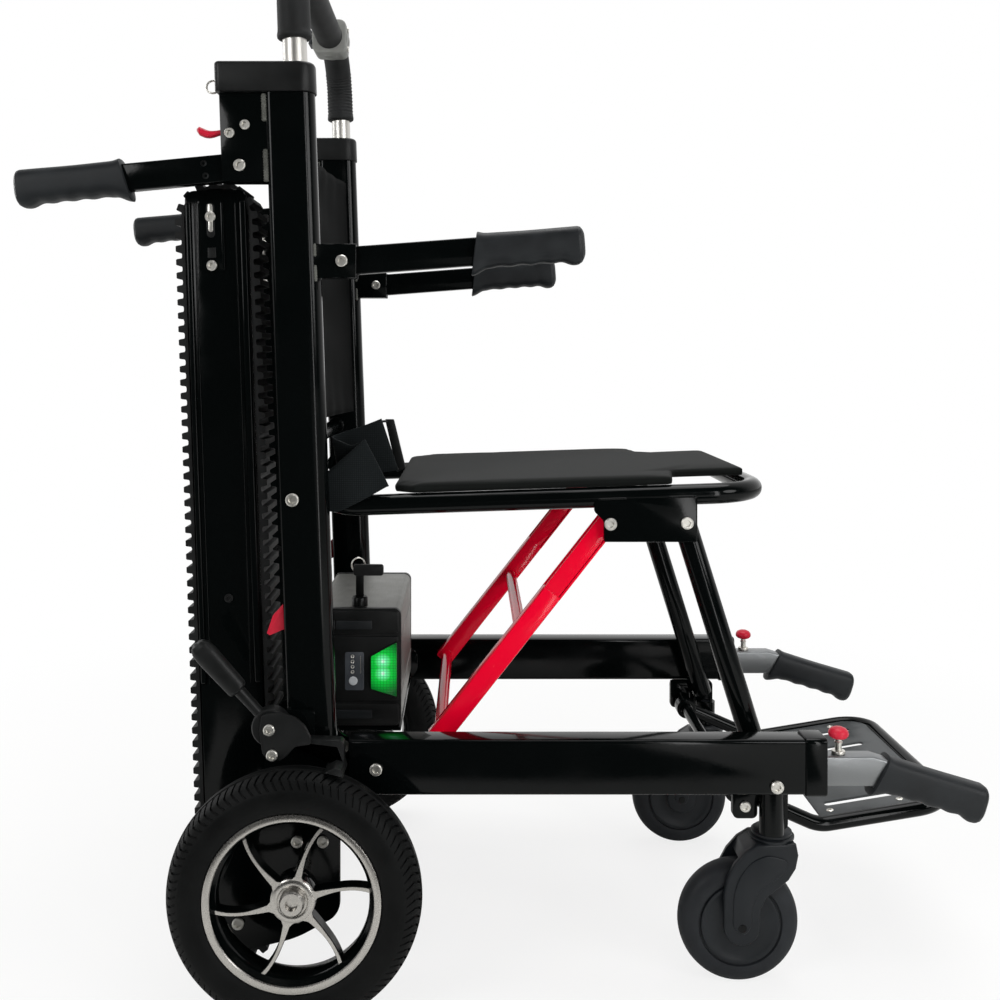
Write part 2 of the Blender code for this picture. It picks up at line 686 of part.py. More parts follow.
def make_battery():
    face = BATTERY_HALF_WIDTH
    case = block((BATTERY_X[0], -face, BATTERY_Z[0]), (BATTERY_X[1], face, BATTERY_Z[1]), BATTERY_EDGE)
    pocket = rod(BUTTON_AT, hole_radius(BUTTON_RADIUS), -face - BUTTON_RISE, -face + BUTTON_POCKET)
    add_part('battery_case', joined([case, pocket], 'DIFFERENCE'), 'black plastic', 'frame')
    lamp = prism(LAMP_OUTLINE, -face - RUN, -face - RUN - LAMP_RISE)
    add_part('battery_lamp', lamp, 'green lens', 'frame')
    floor = BATTERY_Z[0] - RUN
    tray = block((BATTERY_X[0], -face, floor - TRAY), (BATTERY_X[1], face, floor))
    reach = BASE_PLATE_Y - RUN
    bar = rod((TRAY_BAR_X, floor - TRAY - TRAY_BAR_RADIUS + TRAY_BAR_SINK), TRAY_BAR_RADIUS, -reach, reach)
    add_part('battery_tray', joined([tray, bar]), 'gloss black paint', 'frame')
    add_pivot('button_push', (BUTTON_AT[0], -face, BUTTON_AT[1]), 'frame')
    bottom = -face + BUTTON_POCKET - BUTTON_TRAVEL - RUN
    add_part('battery_button', rod(BUTTON_AT, BUTTON_RADIUS, -face - BUTTON_RISE, bottom), 'grey plastic',
             'button_push')
    add_pivot('key_turn', (KEY_AT[0], KEY_AT[1], BATTERY_Z[1]), 'frame')
    low = BATTERY_Z[1] + RUN
    barrel = turned([(low, 0), (low, KEY_RADIUS), (low + KEY_BARREL, KEY_RADIUS), (low + KEY_BARREL, 0)],
                    (KEY_AT[0], KEY_AT[1], 0), TUBE_SIDES, 'Z')
    bow = prism(capsule((KEY_AT[0], low + KEY_BARREL), (KEY_AT[0], low + KEY_HEIGHT), KEY_BOW),
                KEY_AT[1] - KEY_THICK / 2, KEY_AT[1] + KEY_THICK / 2)
    add_part('battery_key', joined([barrel, bow]), 'black plastic', 'key_turn')


def make_wheels():
    tyre_in = WHEEL_RADIUS - TYRE_DEPTH
    half = TYRE_WIDTH / 2
    left = [(-w * half, tyre_in + d * TYRE_DEPTH) for w, d in TYRE_SHOULDER_SHARES]
    tyre = left + [(0, WHEEL_RADIUS)] + [(-w, r) for w, r in reversed(left)]
    lip = TYRE_SHOULDER_SHARES[0][0] * half
    outer, inner = tyre_in - RUN, tyre_in - RIM_WALL
    rim = [(-lip, inner), (-lip, outer), (lip, outer), (lip, inner)]
    hub = HUB_WIDTH / 2
    for side in (-1, 1):
        name = side_name(side)
        centre = (AXLE_X, side * WHEEL_Y, WHEEL_RADIUS)
        add_pivot('wheel_spin_' + name, centre, 'frame')
        add_part('tyre_' + name, turned(tyre, centre, WHEEL_SIDES, ring=True), 'black rubber',
                 'wheel_spin_' + name)
        bore = hole_radius(AXLE_RADIUS)
        nave = [(-hub, bore), (-hub, HUB_RADIUS), (hub, HUB_RADIUS), (hub, bore)]
        shapes = [turned(rim, centre, WHEEL_SIDES, ring=True), turned(nave, centre, HUB_SIDES, ring=True)]
        for i in range(SPOKES):
            tilt = math.tau * (i + 0.5) / SPOKES
            arm = [along((AXLE_X, WHEEL_RADIUS), tilt, run, rise) for run, rise in
                   ((SPOKE_ROOT, -SPOKE_WIDTH / 2), (inner + RIM_WALL / 2, -SPOKE_WIDTH / 2),
                    (inner + RIM_WALL / 2, SPOKE_WIDTH / 2), (SPOKE_ROOT, SPOKE_WIDTH / 2))]
            face = side * (WHEEL_Y + hub - SPOKE_DISH)
            shapes.append(prism(arm, face, face - side * SPOKE_THICK))
        add_part('rim_' + name, joined(shapes), 'black steel', 'wheel_spin_' + name)


# Handles

def make_push_handle():
    add_pivot('handle_slide', handle_point(0, HANDLE_TOP_Z), 'frame')
    plane = (1, 0, math.tan(POST_LEAN))
    corners = [handle_point(-SIDE_Y, HANDLE_FOOT_Z), handle_point(-SIDE_Y, HANDLE_TOP_Z),
               handle_point(SIDE_Y, HANDLE_TOP_Z), handle_point(SIDE_Y, HANDLE_FOOT_Z)]
    tube = sweep_rings(bent_path(corners, HANDLE_BEND), circle(HANDLE_RADIUS), plane)
    add_part('push_handle_tube', loft(tube), 'chrome', 'handle_slide')
    grip_foot = POST_TOP_Z + CAP_HEIGHT + PUSH_GRIP_GAP
    for side, end in ((-1, POD_Y[0] - RUN), (1, POD_Y[1] + RUN)):
        path = bent_path([handle_point(side * SIDE_Y, grip_foot), handle_point(side * SIDE_Y, HANDLE_TOP_Z),
                          handle_point(end, HANDLE_TOP_Z)], HANDLE_BEND)
        outer = sweep_rings(path, circle(PUSH_GRIP_RADIUS), plane)
        inner = sweep_rings(path, circle(hole_radius(HANDLE_RADIUS)), plane)
        add_part('push_grip_' + side_name(side), loft(outer + inner[::-1], loop=True), 'black rubber',
                 'handle_slide')
    at = handle_point(0, HANDLE_TOP_Z)
    centre = (at.x, at.z)
    shell = rounded_box(POD_SIZE, POD_SIZE, POD_ROUND)
    hole = circle(hole_radius(HANDLE_RADIUS), len(shell))
    pod = loft([ring_y(shell, centre, POD_Y[0]), ring_y(shell, centre, POD_Y[1]),
                ring_y(hole, centre, POD_Y[1]), ring_y(hole, centre, POD_Y[0])], loop=True)
    add_part('control_pod', pod, 'black plastic', 'handle_slide')
    face = (at.x - POD_SIZE / 2 - RUN, at.z)
    middle = (POD_Y[0] + POD_Y[1]) / 2
    add_pivot('switch_rock', (face[0], middle, face[1]), 'handle_slide')
    half = SWITCH_HEIGHT / 2
    back = half * math.tan(SWITCH_ROCK + SWITCH_MARGIN)
    rocker = [(face[0] - depth, face[1] + rise) for depth, rise in
              ((0, 0), (back, half), (SWITCH_RISE, half), (SWITCH_WAIST, 0), (SWITCH_RISE, -half),
               (back, -half))]
    add_part('drive_switch', prism(rocker, middle - SWITCH_LENGTH / 2, middle + SWITCH_LENGTH / 2),
             'grey plastic', 'switch_rock')


def make_side_handles():
    for side in (-1, 1):
        name = side_name(side)
        y = side * SIDE_Y
        for kind, grip, pivot, tilt, length, height, width in (
                ('rear_handle', 'rear_grip', REAR_PIVOT, math.pi + REAR_TILT,
                 REAR_BAR_LENGTH, REAR_BAR_HEIGHT, REAR_BAR_WIDTH),
                ('armrest_bar', 'armrest_grip', ARM_PIVOT, ARM_TILT,
                 ARM_BAR_LENGTH, ARM_BAR_HEIGHT, ARM_BAR_WIDTH)):
            hinge = kind + '_fold_' + name
            add_pivot(hinge, (pivot[0], y, pivot[1]), 'frame')
            mouth = along(pivot, tilt, length)
            bar = prism(bar_outline([pivot, mouth], height, True), y - width / 2, y + width / 2)
            hole = rod(pivot, hole_radius(PIN_RADIUS), y - width, y + width)
            add_part(kind + '_' + name, joined([bar, hole], 'DIFFERENCE'), 'gloss black paint', hinge)
            add_part(grip + '_' + name, hand_grip(mouth, tilt, y, width), 'grey plastic', hinge)
        hinge = 'release_turn_' + name
        add_pivot(hinge, (RELEASE_PIVOT[0], y, RELEASE_PIVOT[1]), 'frame')
        lever = prism(capsule(RELEASE_PIVOT, RELEASE_END, RELEASE_HEIGHT / 2),
                      y - RELEASE_WIDTH / 2, y + RELEASE_WIDTH / 2)
        hole = rod(RELEASE_PIVOT, hole_radius(RELEASE_PIN), y - RELEASE_WIDTH, y + RELEASE_WIDTH)
        add_part('release_lever_' + name, joined([lever, hole], 'DIFFERENCE'), 'red plastic', hinge)


def make_lift_handles():
    top = LIFT_BAR_Z + LIFT_BAR_HEIGHT / 2 + RUN
    for side in (-1, 1):
        name = side_name(side)
        y = side * SIDE_Y
        bend = (LIFT_BEND_X, LIFT_BAR_Z)
        mouth = along(bend, -LIFT_TILT, LIFT_TAIL)
        add_pivot('lift_slide_' + name, (LIFT_BEND_X, y, LIFT_BAR_Z), 'rail_fold')
        bar = prism(bar_outline([(LIFT_REAR_X, LIFT_BAR_Z), bend, mouth], LIFT_BAR_HEIGHT, False),
                    y - LIFT_BAR_WIDTH / 2, y + LIFT_BAR_WIDTH / 2)
        add_part('lift_bar_' + name, bar, 'aluminium', 'lift_slide_' + name)
        add_part('lift_grip_' + name, hand_grip(mouth, -LIFT_TILT, y, LIFT_BAR_WIDTH), 'grey plastic',
                 'lift_slide_' + name)
        add_pivot('knob_lift_' + name, (KNOB_X, y, top), 'lift_slide_' + name)
        knob = [(0, 0), (0, KNOB_FOOT_RADIUS), (KNOB_FOOT, KNOB_FOOT_RADIUS), (KNOB_FOOT, KNOB_STEM_RADIUS),
                (KNOB_NECK, KNOB_STEM_RADIUS), (KNOB_NECK, KNOB_RADIUS),
                (KNOB_HEIGHT - KNOB_DOME, KNOB_RADIUS), (KNOB_HEIGHT, KNOB_CROWN_RADIUS), (KNOB_HEIGHT, 0)]
        pin = turned([(top + z, r) for z, r in knob], (KNOB_X, y, 0), TUBE_SIDES, 'Z')
        add_part('lift_knob_' + name, pin, 'red plastic', 'knob_lift_' + name)


# Folding seat

def make_seat():
    add_pivot('seat_fold', (SEAT_PIVOT[0], 0, SEAT_PIVOT[1]), 'frame')
    spine = [(SEAT_PIVOT[0] + EYE_TUBE_START, SEAT_PIVOT[1]), SEAT_LOW, SEAT_FRONT]
    right = [Vector((x, -SEAT_TUBE_Y, z)) for x, z in spine]
    left = [Vector((x, SEAT_TUBE_Y, z)) for x, z in spine]
    path = bent_path(right + left[::-1], SEAT_BEND, 3)
    shapes = [loft(sweep_rings(path, circle(SEAT_TUBE_RADIUS), (0, 0, 1)))]
    bore = hole_radius(PIN_RADIUS)
    eye_out = SIDE_Y - POST_WIDTH / 2 - RUN
    eye_in = SEAT_TUBE_Y - EYE_WIDTH / 2
    eye = [(eye_in, bore), (eye_in, EYE_RADIUS), (eye_out, EYE_RADIUS), (eye_out, bore)]
    low, high = SEAT_BRACKET_X
    plate = [(low, SEAT_BRACKET_FOOT_Z), (high, SEAT_BRACKET_FOOT_Z),
             (high, tube_z(high)), (low, tube_z(low))]
    bracket_out = SEAT_BRACKET_Y + SEAT_BRACKET
    for side in (-1, 1):
        shapes.append(turned([(side * step, r) for step, r in eye], (SEAT_PIVOT[0], 0, SEAT_PIVOT[1]),
                             TUBE_SIDES, ring=True))
        shapes.append(prism(plate, side * SEAT_BRACKET_Y, side * bracket_out))
        bolt_head = side * (bracket_out + BOLT_RISE)
        shapes.append(rod(LEG_HEAD, PIN_RADIUS, side * (LEG_Y - LEG_RADIUS), bolt_head))
        shapes.append(rod(STRUT_PIVOT, PIN_RADIUS, side * (STRUT_Y - STRUT_SIZE / 2), bolt_head))
    add_part('seat_frame', joined(shapes), 'gloss black paint', 'seat_fold')
    pad = bmesh.new()
    outline = [(PAD_REAR_X, PAD_HALF_WIDTH), (PAD_WIDE_X, PAD_HALF_WIDTH),
               (PAD_STEP_X, PAD_TONGUE_HALF_WIDTH), (PAD_FRONT_X, PAD_TONGUE_HALF_WIDTH)]
    outline += [(x, -y) for x, y in reversed(outline)]
    rest = SEAT_TUBE_RADIUS + RUN
    face = pad.faces.new([pad.verts.new((x, y, tube_z(x) + rest)) for x, y in outline])
    grown = bmesh.ops.extrude_face_region(pad, geom=[face])['geom']
    bmesh.ops.translate(pad, verts=[item for item in grown if isinstance(item, bmesh.types.BMVert)],
                        vec=(0, 0, PAD_THICKNESS))
    add_part('seat_pad', pad, 'black fabric', 'seat_fold')
    low = tube_z(BELT_OUTLINE[0][0]) + rest
    belt = prism([(x, low + rise) for x, rise in BELT_OUTLINE], -SEAT_TUBE_Y, -SEAT_TUBE_Y + BELT_WIDTH)
    add_part('lap_belt', belt, 'black fabric', 'seat_fold')


def tube_z(x):
    return point_at(SEAT_LOW, SEAT_FRONT, (x - SEAT_LOW[0]) / (SEAT_FRONT[0] - SEAT_LOW[0]))[1]


def make_legs():
    add_pivot('leg_fold', (LEG_HEAD[0], 0, LEG_HEAD[1]), 'seat_fold')
    tilt = angle_to(LEG_HEAD, LEG_FOOT)
    length = math.dist(LEG_HEAD, LEG_FOOT)
    ends = [along(LEG_HEAD, tilt, -LEG_END), along(LEG_HEAD, tilt, length + LEG_END)]
    for side in (-1, 1):
        y = side * LEG_Y
        path = [Vector((x, y, z)) for x, z in ends]
        tube = loft(sweep_rings(path, circle(LEG_RADIUS), (0, 1, 0)))
        pin = rod(LEG_FOOT, PIN_RADIUS, y, side * (LUG_Y[1] - RUN))
        hole = rod(LEG_HEAD, hole_radius(PIN_RADIUS), y - 2 * LEG_RADIUS, y + 2 * LEG_RADIUS)
        leg = joined([joined([tube, pin]), hole], 'DIFFERENCE')
        add_part('front_leg_' + side_name(side), leg, 'gloss black paint', 'leg_fold')


def make_strut():
    add_pivot('strut_fold', (STRUT_PIVOT[0], 0, STRUT_PIVOT[1]), 'seat_fold')
    tilt = angle_to(STRUT_PIVOT, STRUT_FOOT)
    length = math.dist(STRUT_PIVOT, STRUT_FOOT)
    half = STRUT_SIZE / 2
    side_bar = [along(STRUT_PIVOT, tilt, run, rise) for run, rise in
                ((-half, -half), (length + half, -half), (length + half, half), (-half, half))]
    reach = SIDE_Y - RAIL_WIDTH / 2 - RUN
    shapes = [prism(side_bar, side * (STRUT_Y - half), side * (STRUT_Y + half)) for side in (-1, 1)]
    shapes.append(rod(STRUT_FOOT, STRUT_BAR_SIZE / 2, -reach, reach))
    upper = point_at(STRUT_PIVOT, STRUT_FOOT, STRUT_BAR_SHARE)
    shapes.append(rod(upper, STRUT_BAR_SIZE / 2, -STRUT_Y, STRUT_Y))
    bore = hole_radius(PIN_RADIUS)
    hole = [rod(STRUT_PIVOT, bore, side * (STRUT_Y - STRUT_SIZE), side * (STRUT_Y + STRUT_SIZE))
            for side in (-1, 1)]
    add_part('strut_frame', joined([joined(shapes)] + hole, 'DIFFERENCE'), 'red paint', 'strut_fold')


# Lower frame

def ring_x(section, x, y, z):
    return [Vector((x, y + a, z + b)) for a, b in section]


def make_rail(side):
    y = side * SIDE_Y
    low, high = RAIL_Z
    height, middle = high - low, (low + high) / 2
    outer = rounded_box(RAIL_WIDTH, height, RAIL_EDGE)
    inner = rounded_box(RAIL_WIDTH - 2 * RAIL_WALL, height - 2 * RAIL_WALL, RAIL_EDGE - RAIL_WALL)
    collar = rounded_box(RAIL_WIDTH + 2 * COLLAR_RISE, height + 2 * COLLAR_RISE, RAIL_EDGE + COLLAR_RISE)
    mouth = rounded_box(LIFT_BAR_WIDTH + 2 * RUN, LIFT_BAR_HEIGHT + 2 * RUN, RUN)
    end = RAIL_X[1] + COLLAR_LENGTH
    tube = loft([ring_x(outer, RAIL_X[0], y, middle), ring_x(outer, RAIL_X[1], y, middle),
                 ring_x(collar, RAIL_X[1], y, middle), ring_x(collar, end, y, middle),
                 ring_x(mouth, end, y, LIFT_BAR_Z), ring_x(mouth, RAIL_X[1], y, LIFT_BAR_Z),
                 ring_x(inner, RAIL_X[1], y, middle), ring_x(inner, RAIL_X[0] + RAIL_WALL, y, middle)])
    ear_x, ear_z = FOOTREST_PIVOT
    rear, front = CASTER_STEM_X - LUG_HALF, CASTER_STEM_X + LUG_HALF
    lug = [(ear_x - EAR_HALF, LUG_HEAD_Z), (ear_x - EAR_HALF, ear_z - EAR_HALF + EAR_CORNER),
           (ear_x - EAR_HALF + EAR_CORNER, ear_z - EAR_HALF),
           (ear_x + EAR_HALF - EAR_CORNER, ear_z - EAR_HALF),
           (ear_x + EAR_HALF, ear_z - EAR_HALF + EAR_CORNER), (ear_x + EAR_HALF, LUG_NECK_Z),
           (rear, LUG_NECK_Z), (rear, LUG_FOOT_Z), (front, LUG_FOOT_Z), (front, LUG_HEAD_Z)]
    bore = hole_radius(STEM_RADIUS)
    stem = [(STEM_TUBE_Z[0], bore), (STEM_TUBE_Z[0], STEM_TUBE_RADIUS), (STEM_TUBE_Z[1], STEM_TUBE_RADIUS),
            (STEM_TUBE_Z[1], bore)]
    solid = joined([tube, prism(lug, side * LUG_Y[0], side * LUG_Y[1]),
                    turned(stem, (CASTER_STEM_X, side * CASTER_Y, 0), TUBE_SIDES, 'Z', ring=True)])
    holes = [rod(RAIL_PIVOT, hole_radius(PIN_RADIUS), y - RAIL_WIDTH, y + RAIL_WIDTH),
             rod(LEG_FOOT, hole_radius(PIN_RADIUS, LEG_PLAY), side * (LUG_Y[0] - RUN),
                 side * (LUG_Y[1] + RUN))]
    return joined([solid] + holes, 'DIFFERENCE')


def make_lower_frame():
    add_pivot('rail_fold', (RAIL_PIVOT[0], 0, RAIL_PIVOT[1]), 'frame')
    for side in (-1, 1):
        add_part('rail_' + side_name(side), make_rail(side), 'gloss black paint', 'rail_fold')
    reach = LUG_Y[0] - RUN
    add_part('footrest_rod', rod(FOOTREST_PIVOT, FOOTREST_ROD_RADIUS, -reach, reach), 'gloss black paint',
             'rail_fold')


def make_footrest():
    add_pivot('footrest_fold', (FOOTREST_PIVOT[0], 0, FOOTREST_PIVOT[1]), 'rail_fold')
    bore = hole_radius(FOOTREST_ROD_RADIUS)
    first = along(FOOTREST_PIVOT, angle_to(FOOTREST_PIVOT, FOOT_KNEE), bore + FOOT_SLEEVE / 2)
    spine = [first, FOOT_KNEE, FOOT_FRONT]
    right = [Vector((x, -FOOT_TUBE_Y, z)) for x, z in spine]
    left = [Vector((x, FOOT_TUBE_Y, z)) for x, z in spine]
    tilt = angle_to(FOOT_KNEE, FOOT_FRONT)
    path = bent_path(right + left[::-1], FOOT_BEND, 3)
    shapes = [loft(sweep_rings(path, circle(FOOT_TUBE_RADIUS), (-math.sin(tilt), 0, math.cos(tilt))))]
    for side in (-1, 1):
        sleeve = [(side * (FOOT_TUBE_Y + step * FOOT_SLEEVE_REACH), r) for step, r in
                  ((-1, bore), (-1, bore + FOOT_SLEEVE), (1, bore + FOOT_SLEEVE), (1, bore))]
        shapes.append(turned(sleeve, (FOOTREST_PIVOT[0], 0, FOOTREST_PIVOT[1]), TUBE_SIDES, ring=True))
    add_part('footrest_loop', joined(shapes), 'gloss black paint', 'footrest_fold')
    low = FOOT_TUBE_RADIUS + RUN
    edge = FOOT_PLATE_MARGIN
    plate = [along(FOOT_KNEE, tilt, run, rise) for run, rise in
             ((FOOT_PLATE_RUN[0], low), (FOOT_PLATE_RUN[1], low), (FOOT_PLATE_RUN[1], low + FOOT_PLATE),
              (FOOT_PLATE_RUN[0], low + FOOT_PLATE))]
    slot = [along(FOOT_KNEE, tilt, run, rise) for run, rise in
            ((FOOT_PLATE_RUN[0] + edge, 0), (FOOT_PLATE_RUN[1] - edge, 0),
             (FOOT_PLATE_RUN[1] - edge, 2 * low), (FOOT_PLATE_RUN[0] + edge, 2 * low))]
    shapes = [prism(plate, -FOOT_TUBE_Y, FOOT_TUBE_Y)]
    pitch = 2 * (FOOT_TUBE_Y - edge) / FOOT_SLOTS
    for i in range(FOOT_SLOTS):
        y = pitch * (i - (FOOT_SLOTS - 1) / 2)
        shapes.append(prism(slot, y - FOOT_SLOT_WIDTH / 2, y + FOOT_SLOT_WIDTH / 2))
    add_part('footrest_plate', joined(shapes, 'DIFFERENCE'), 'gloss black paint', 'footrest_fold')


def make_casters():
    hub_x = CASTER_STEM_X - CASTER_TRAIL
    inner = CASTER_WIDTH / 2 + FORK_SIDE_GAP
    outer = inner + FORK_ARM
    crown = 2 * CASTER_RADIUS + FORK_TOP_GAP
    half, bore = CASTER_WIDTH / 2, hole_radius(CASTER_AXLE_RADIUS)
    tread = [(-half, bore), (-half, CASTER_SIDE_RADIUS), (-CASTER_TREAD / 2, CASTER_RADIUS),
             (CASTER_TREAD / 2, CASTER_RADIUS), (half, CASTER_SIDE_RADIUS), (half, bore)]
    for side in (-1, 1):
        name = side_name(side)
        y = side * CASTER_Y
        add_pivot('caster_swivel_' + name, (CASTER_STEM_X, y, STEM_TUBE_Z[0]), 'rail_fold')
        add_pivot('caster_spin_' + name, (hub_x, y, CASTER_RADIUS), 'caster_swivel_' + name)
        arm = capsule((hub_x, CASTER_RADIUS), (CASTER_STEM_X - FORK_HEAD_BACK, crown + FORK_CROWN / 2),
                      FORK_ARM_RADIUS)
        top = STEM_TUBE_Z[0] - RUN
        stem = [(crown + RUN, 0), (crown + RUN, FORK_COLLAR_RADIUS), (top, FORK_COLLAR_RADIUS),
                (top, STEM_RADIUS), (STEM_TUBE_Z[1] - RUN, STEM_RADIUS), (STEM_TUBE_Z[1] - RUN, 0)]
        shapes = [block((CASTER_STEM_X - CASTER_TRAIL, y - inner - FORK_ARM / 2, crown),
                        (CASTER_STEM_X + FORK_CROWN_FRONT, y + inner + FORK_ARM / 2, crown + FORK_CROWN)),
                  turned(stem, (CASTER_STEM_X, y, 0), TUBE_SIDES, 'Z'),
                  prism(arm, y - outer, y - inner), prism(arm, y + inner, y + outer),
                  rod((hub_x, CASTER_RADIUS), CASTER_AXLE_RADIUS, y - outer - BOLT_RISE,
                      y + outer + BOLT_RISE)]
        add_part('caster_fork_' + name, joined(shapes), 'grey plastic', 'caster_swivel_' + name)
        add_part('caster_wheel_' + name, turned(tread, (hub_x, y, CASTER_RADIUS), WHEEL_SIDES, ring=True),
                 'grey plastic', 'caster_spin_' + name)


# Crawler tracks and brakes

def belt_outline():
    # The belt's outer side: a tooth at every pitch round the two rollers and the runs between them.
    root = BELT_INNER + BELT_THICKNESS
    run = math.dist(TRACK_FOOT, TRACK_HEAD)
    tilt = angle_to(TRACK_FOOT, TRACK_HEAD)
    length = 2 * run + math.tau * root
    teeth = round(length / TOOTH_PITCH)
    points = []
    for i in range(2 * teeth):
        travel = (i + 0.5) * length / (2 * teeth)
        reach = root + TOOTH_HEIGHT * (i % 2)
        if travel < run:
            points.append(along(TRACK_FOOT, tilt, travel, -reach))
        elif travel < run + math.pi * root:
            points.append(along(TRACK_HEAD, tilt - math.pi / 2 + (travel - run) / root, reach))
        elif travel < 2 * run + math.pi * root:
            points.append(along(TRACK_FOOT, tilt, 2 * run + math.pi * root - travel, reach))
        else:
            turn = (travel - 2 * run - math.pi * root) / root
            points.append(along(TRACK_FOOT, tilt + math.pi / 2 + turn, reach))
    return points


def roller_shaft(at, reach):
    inset = TRACK_WIDTH / 2 - BELT_EDGE - CHEEK - RUN
    near, far = TRACK_Y - inset, TRACK_Y + inset
    half = [(near, SHAFT_RADIUS), (near, ROLLER_RADIUS), (far, ROLLER_RADIUS), (far, SHAFT_RADIUS),
            (reach, SHAFT_RADIUS), (reach, 0)]
    return turned([(-y, r) for y, r in reversed(half)] + half, (at[0], 0, at[1]), ROLLER_SIDES)


def make_tracks():
    add_pivot('track_swing', (TRACK_FOOT[0], 0, TRACK_FOOT[1]), 'frame')
    add_pivot('drive_spin', (TRACK_FOOT[0], 0, TRACK_FOOT[1]), 'track_swing')
    add_pivot('idler_spin', (TRACK_HEAD[0], 0, TRACK_HEAD[1]), 'track_swing')
    tilt = angle_to(TRACK_FOOT, TRACK_HEAD)
    run = math.dist(TRACK_FOOT, TRACK_HEAD)
    near, far = TRACK_Y - TRACK_WIDTH / 2 + BELT_EDGE, TRACK_Y + TRACK_WIDTH / 2 - BELT_EDGE
    cheek = capsule(TRACK_FOOT, TRACK_HEAD, CHEEK_HALF_DEPTH)
    clear = ROLLER_RADIUS + TRACK_CORE_GAP
    back = TRACK_CORE_DEPTH / 2
    front = back - TRACK_BAR
    bars = [[along(TRACK_FOOT, tilt, t, sign * rise) for t, rise in
             ((clear, back), (run - clear, back), (run - clear, front), (clear, front))] for sign in (-1, 1)]
    spreader = point_at(TRACK_FOOT, TRACK_HEAD, SPREADER_SHARE)
    shapes = [rod(spreader, SPREADER_RADIUS, -near - CHEEK / 2, near + CHEEK / 2)]
    toothed, inside = belt_outline(), capsule(TRACK_FOOT, TRACK_HEAD, BELT_INNER, 8)
    for side in (-1, 1):
        shapes.append(prism(cheek, side * near, side * (near + CHEEK)))
        shapes.append(prism(cheek, side * far, side * (far - CHEEK)))
        shapes += [prism(bar, side * (near + CHEEK / 2), side * (far - CHEEK / 2)) for bar in bars]
        edges = side * (TRACK_Y - TRACK_WIDTH / 2), side * (TRACK_Y + TRACK_WIDTH / 2)
        hollow = prism(inside, edges[0] - side * RUN, edges[1] + side * RUN)
        belt = joined([prism(toothed, *edges), hollow], 'DIFFERENCE')
        add_part('track_belt_' + side_name(side), belt, 'black rubber', 'track_swing')
    reach = far + RUN
    holes = [rod(at, hole_radius(SHAFT_RADIUS), -reach, reach) for at in (TRACK_FOOT, TRACK_HEAD)]
    frame = joined([joined(shapes)] + holes, 'DIFFERENCE')
    add_part('track_frame', frame, 'gloss black paint', 'track_swing')
    shaft_end = BASE_PLATE_Y + BASE_PLATE - RUN
    add_part('drive_shaft', roller_shaft(TRACK_FOOT, shaft_end), 'black steel', 'drive_spin')
    add_part('idler_shaft', roller_shaft(TRACK_HEAD, far - RUN), 'black steel', 'idler_spin')
    motor_end = TRACK_Y - TRACK_WIDTH / 2 - MOTOR_SIDE_GAP
    gearbox = capsule(TRACK_FOOT, MOTOR_AT, GEARBOX_RADIUS)
    unit = joined([prism(gearbox, -GEARBOX_HALF_WIDTH, GEARBOX_HALF_WIDTH),
                   rod(MOTOR_AT, MOTOR_RADIUS, -motor_end, motor_end, ROLLER_SIDES)])
    bore = rod(TRACK_FOOT, hole_radius(SHAFT_RADIUS), -2 * GEARBOX_HALF_WIDTH, 2 * GEARBOX_HALF_WIDTH)
    add_part('drive_unit', joined([unit, bore], 'DIFFERENCE'), 'black steel', 'track_swing')


def make_brakes():
    near = SIDE_Y + POST_WIDTH / 2 + BRAKE_PLATE + RUN
    far = near + BRAKE_LEVER_WIDTH - RUN
    tilt = angle_to(BRAKE_PIVOT, BRAKE_GRIP_END)
    length = math.dist(BRAKE_PIVOT, BRAKE_GRIP_END)
    half = BRAKE_SHOE_SIZE / 2
    tread = WHEEL_RADIUS + math.sqrt(WHEEL_RADIUS ** 2 - (BRAKE_SHOE_X - half - AXLE_X) ** 2)
    shoe = (BRAKE_SHOE_X, tread + BRAKE_GAP + half)
    bore = hole_radius(PIN_RADIUS)
    for side in (-1, 1):
        name = side_name(side)
        add_pivot('brake_turn_' + name, (BRAKE_PIVOT[0], side * near, BRAKE_PIVOT[1]), 'frame')
        middle = side * (near + far) / 2
        rings = []
        for share, radius in BRAKE_RING_SHARES:
            x, z = along(BRAKE_PIVOT, tilt, length * share)
            rings.append([Vector((x - b * math.sin(tilt), middle + a, z + b * math.cos(tilt)))
                          for a, b in circle(BRAKE_GRIP_RADIUS * radius)])
        hub = [(side * near, bore), (side * near, BRAKE_HUB_RADIUS), (side * far, BRAKE_HUB_RADIUS),
               (side * far, bore)]
        start = along(BRAKE_PIVOT, angle_to(BRAKE_PIVOT, shoe), BRAKE_HUB_RADIUS)
        link = capsule(start, shoe, BRAKE_ARM / 2, 3)
        shoe_span = sorted((side * near, side * (WHEEL_Y + BRAKE_SHOE_PAST)))
        shapes = [turned(hub, (BRAKE_PIVOT[0], 0, BRAKE_PIVOT[1]), TUBE_SIDES, ring=True), loft(rings),
                  prism(link, side * (near + RUN), side * (far - RUN)),
                  block((shoe[0] - half, shoe_span[0], shoe[1] - half),
                        (shoe[0] + half, shoe_span[1], shoe[1] + half))]
        add_part('brake_lever_' + name, joined(shapes), 'black plastic', 'brake_turn_' + name)


def stand_on_footprint():
    bpy.context.view_layer.update()
    xs = [(part.matrix_world @ vertex.co).x for part in bpy.context.scene.objects if part.type == 'MESH'
          for vertex in part.data.vertices]
    pivots['chair'][0].location.x = -(min(xs) + max(xs)) / 2
    bpy.context.view_layer.update()


def main():
    for old in list(bpy.data.objects):
        bpy.data.objects.remove(old)
    add_pivot('chair', (0, 0, 0))
    make_frame()
    make_battery()
    make_wheels()
    make_push_handle()
    make_side_handles()
    make_seat()
    make_legs()
    make_strut()
    make_lower_frame()
    make_lift_handles()
    make_footrest()
    make_casters()
    make_tracks()
    make_brakes()
    stand_on_footprint()


main()
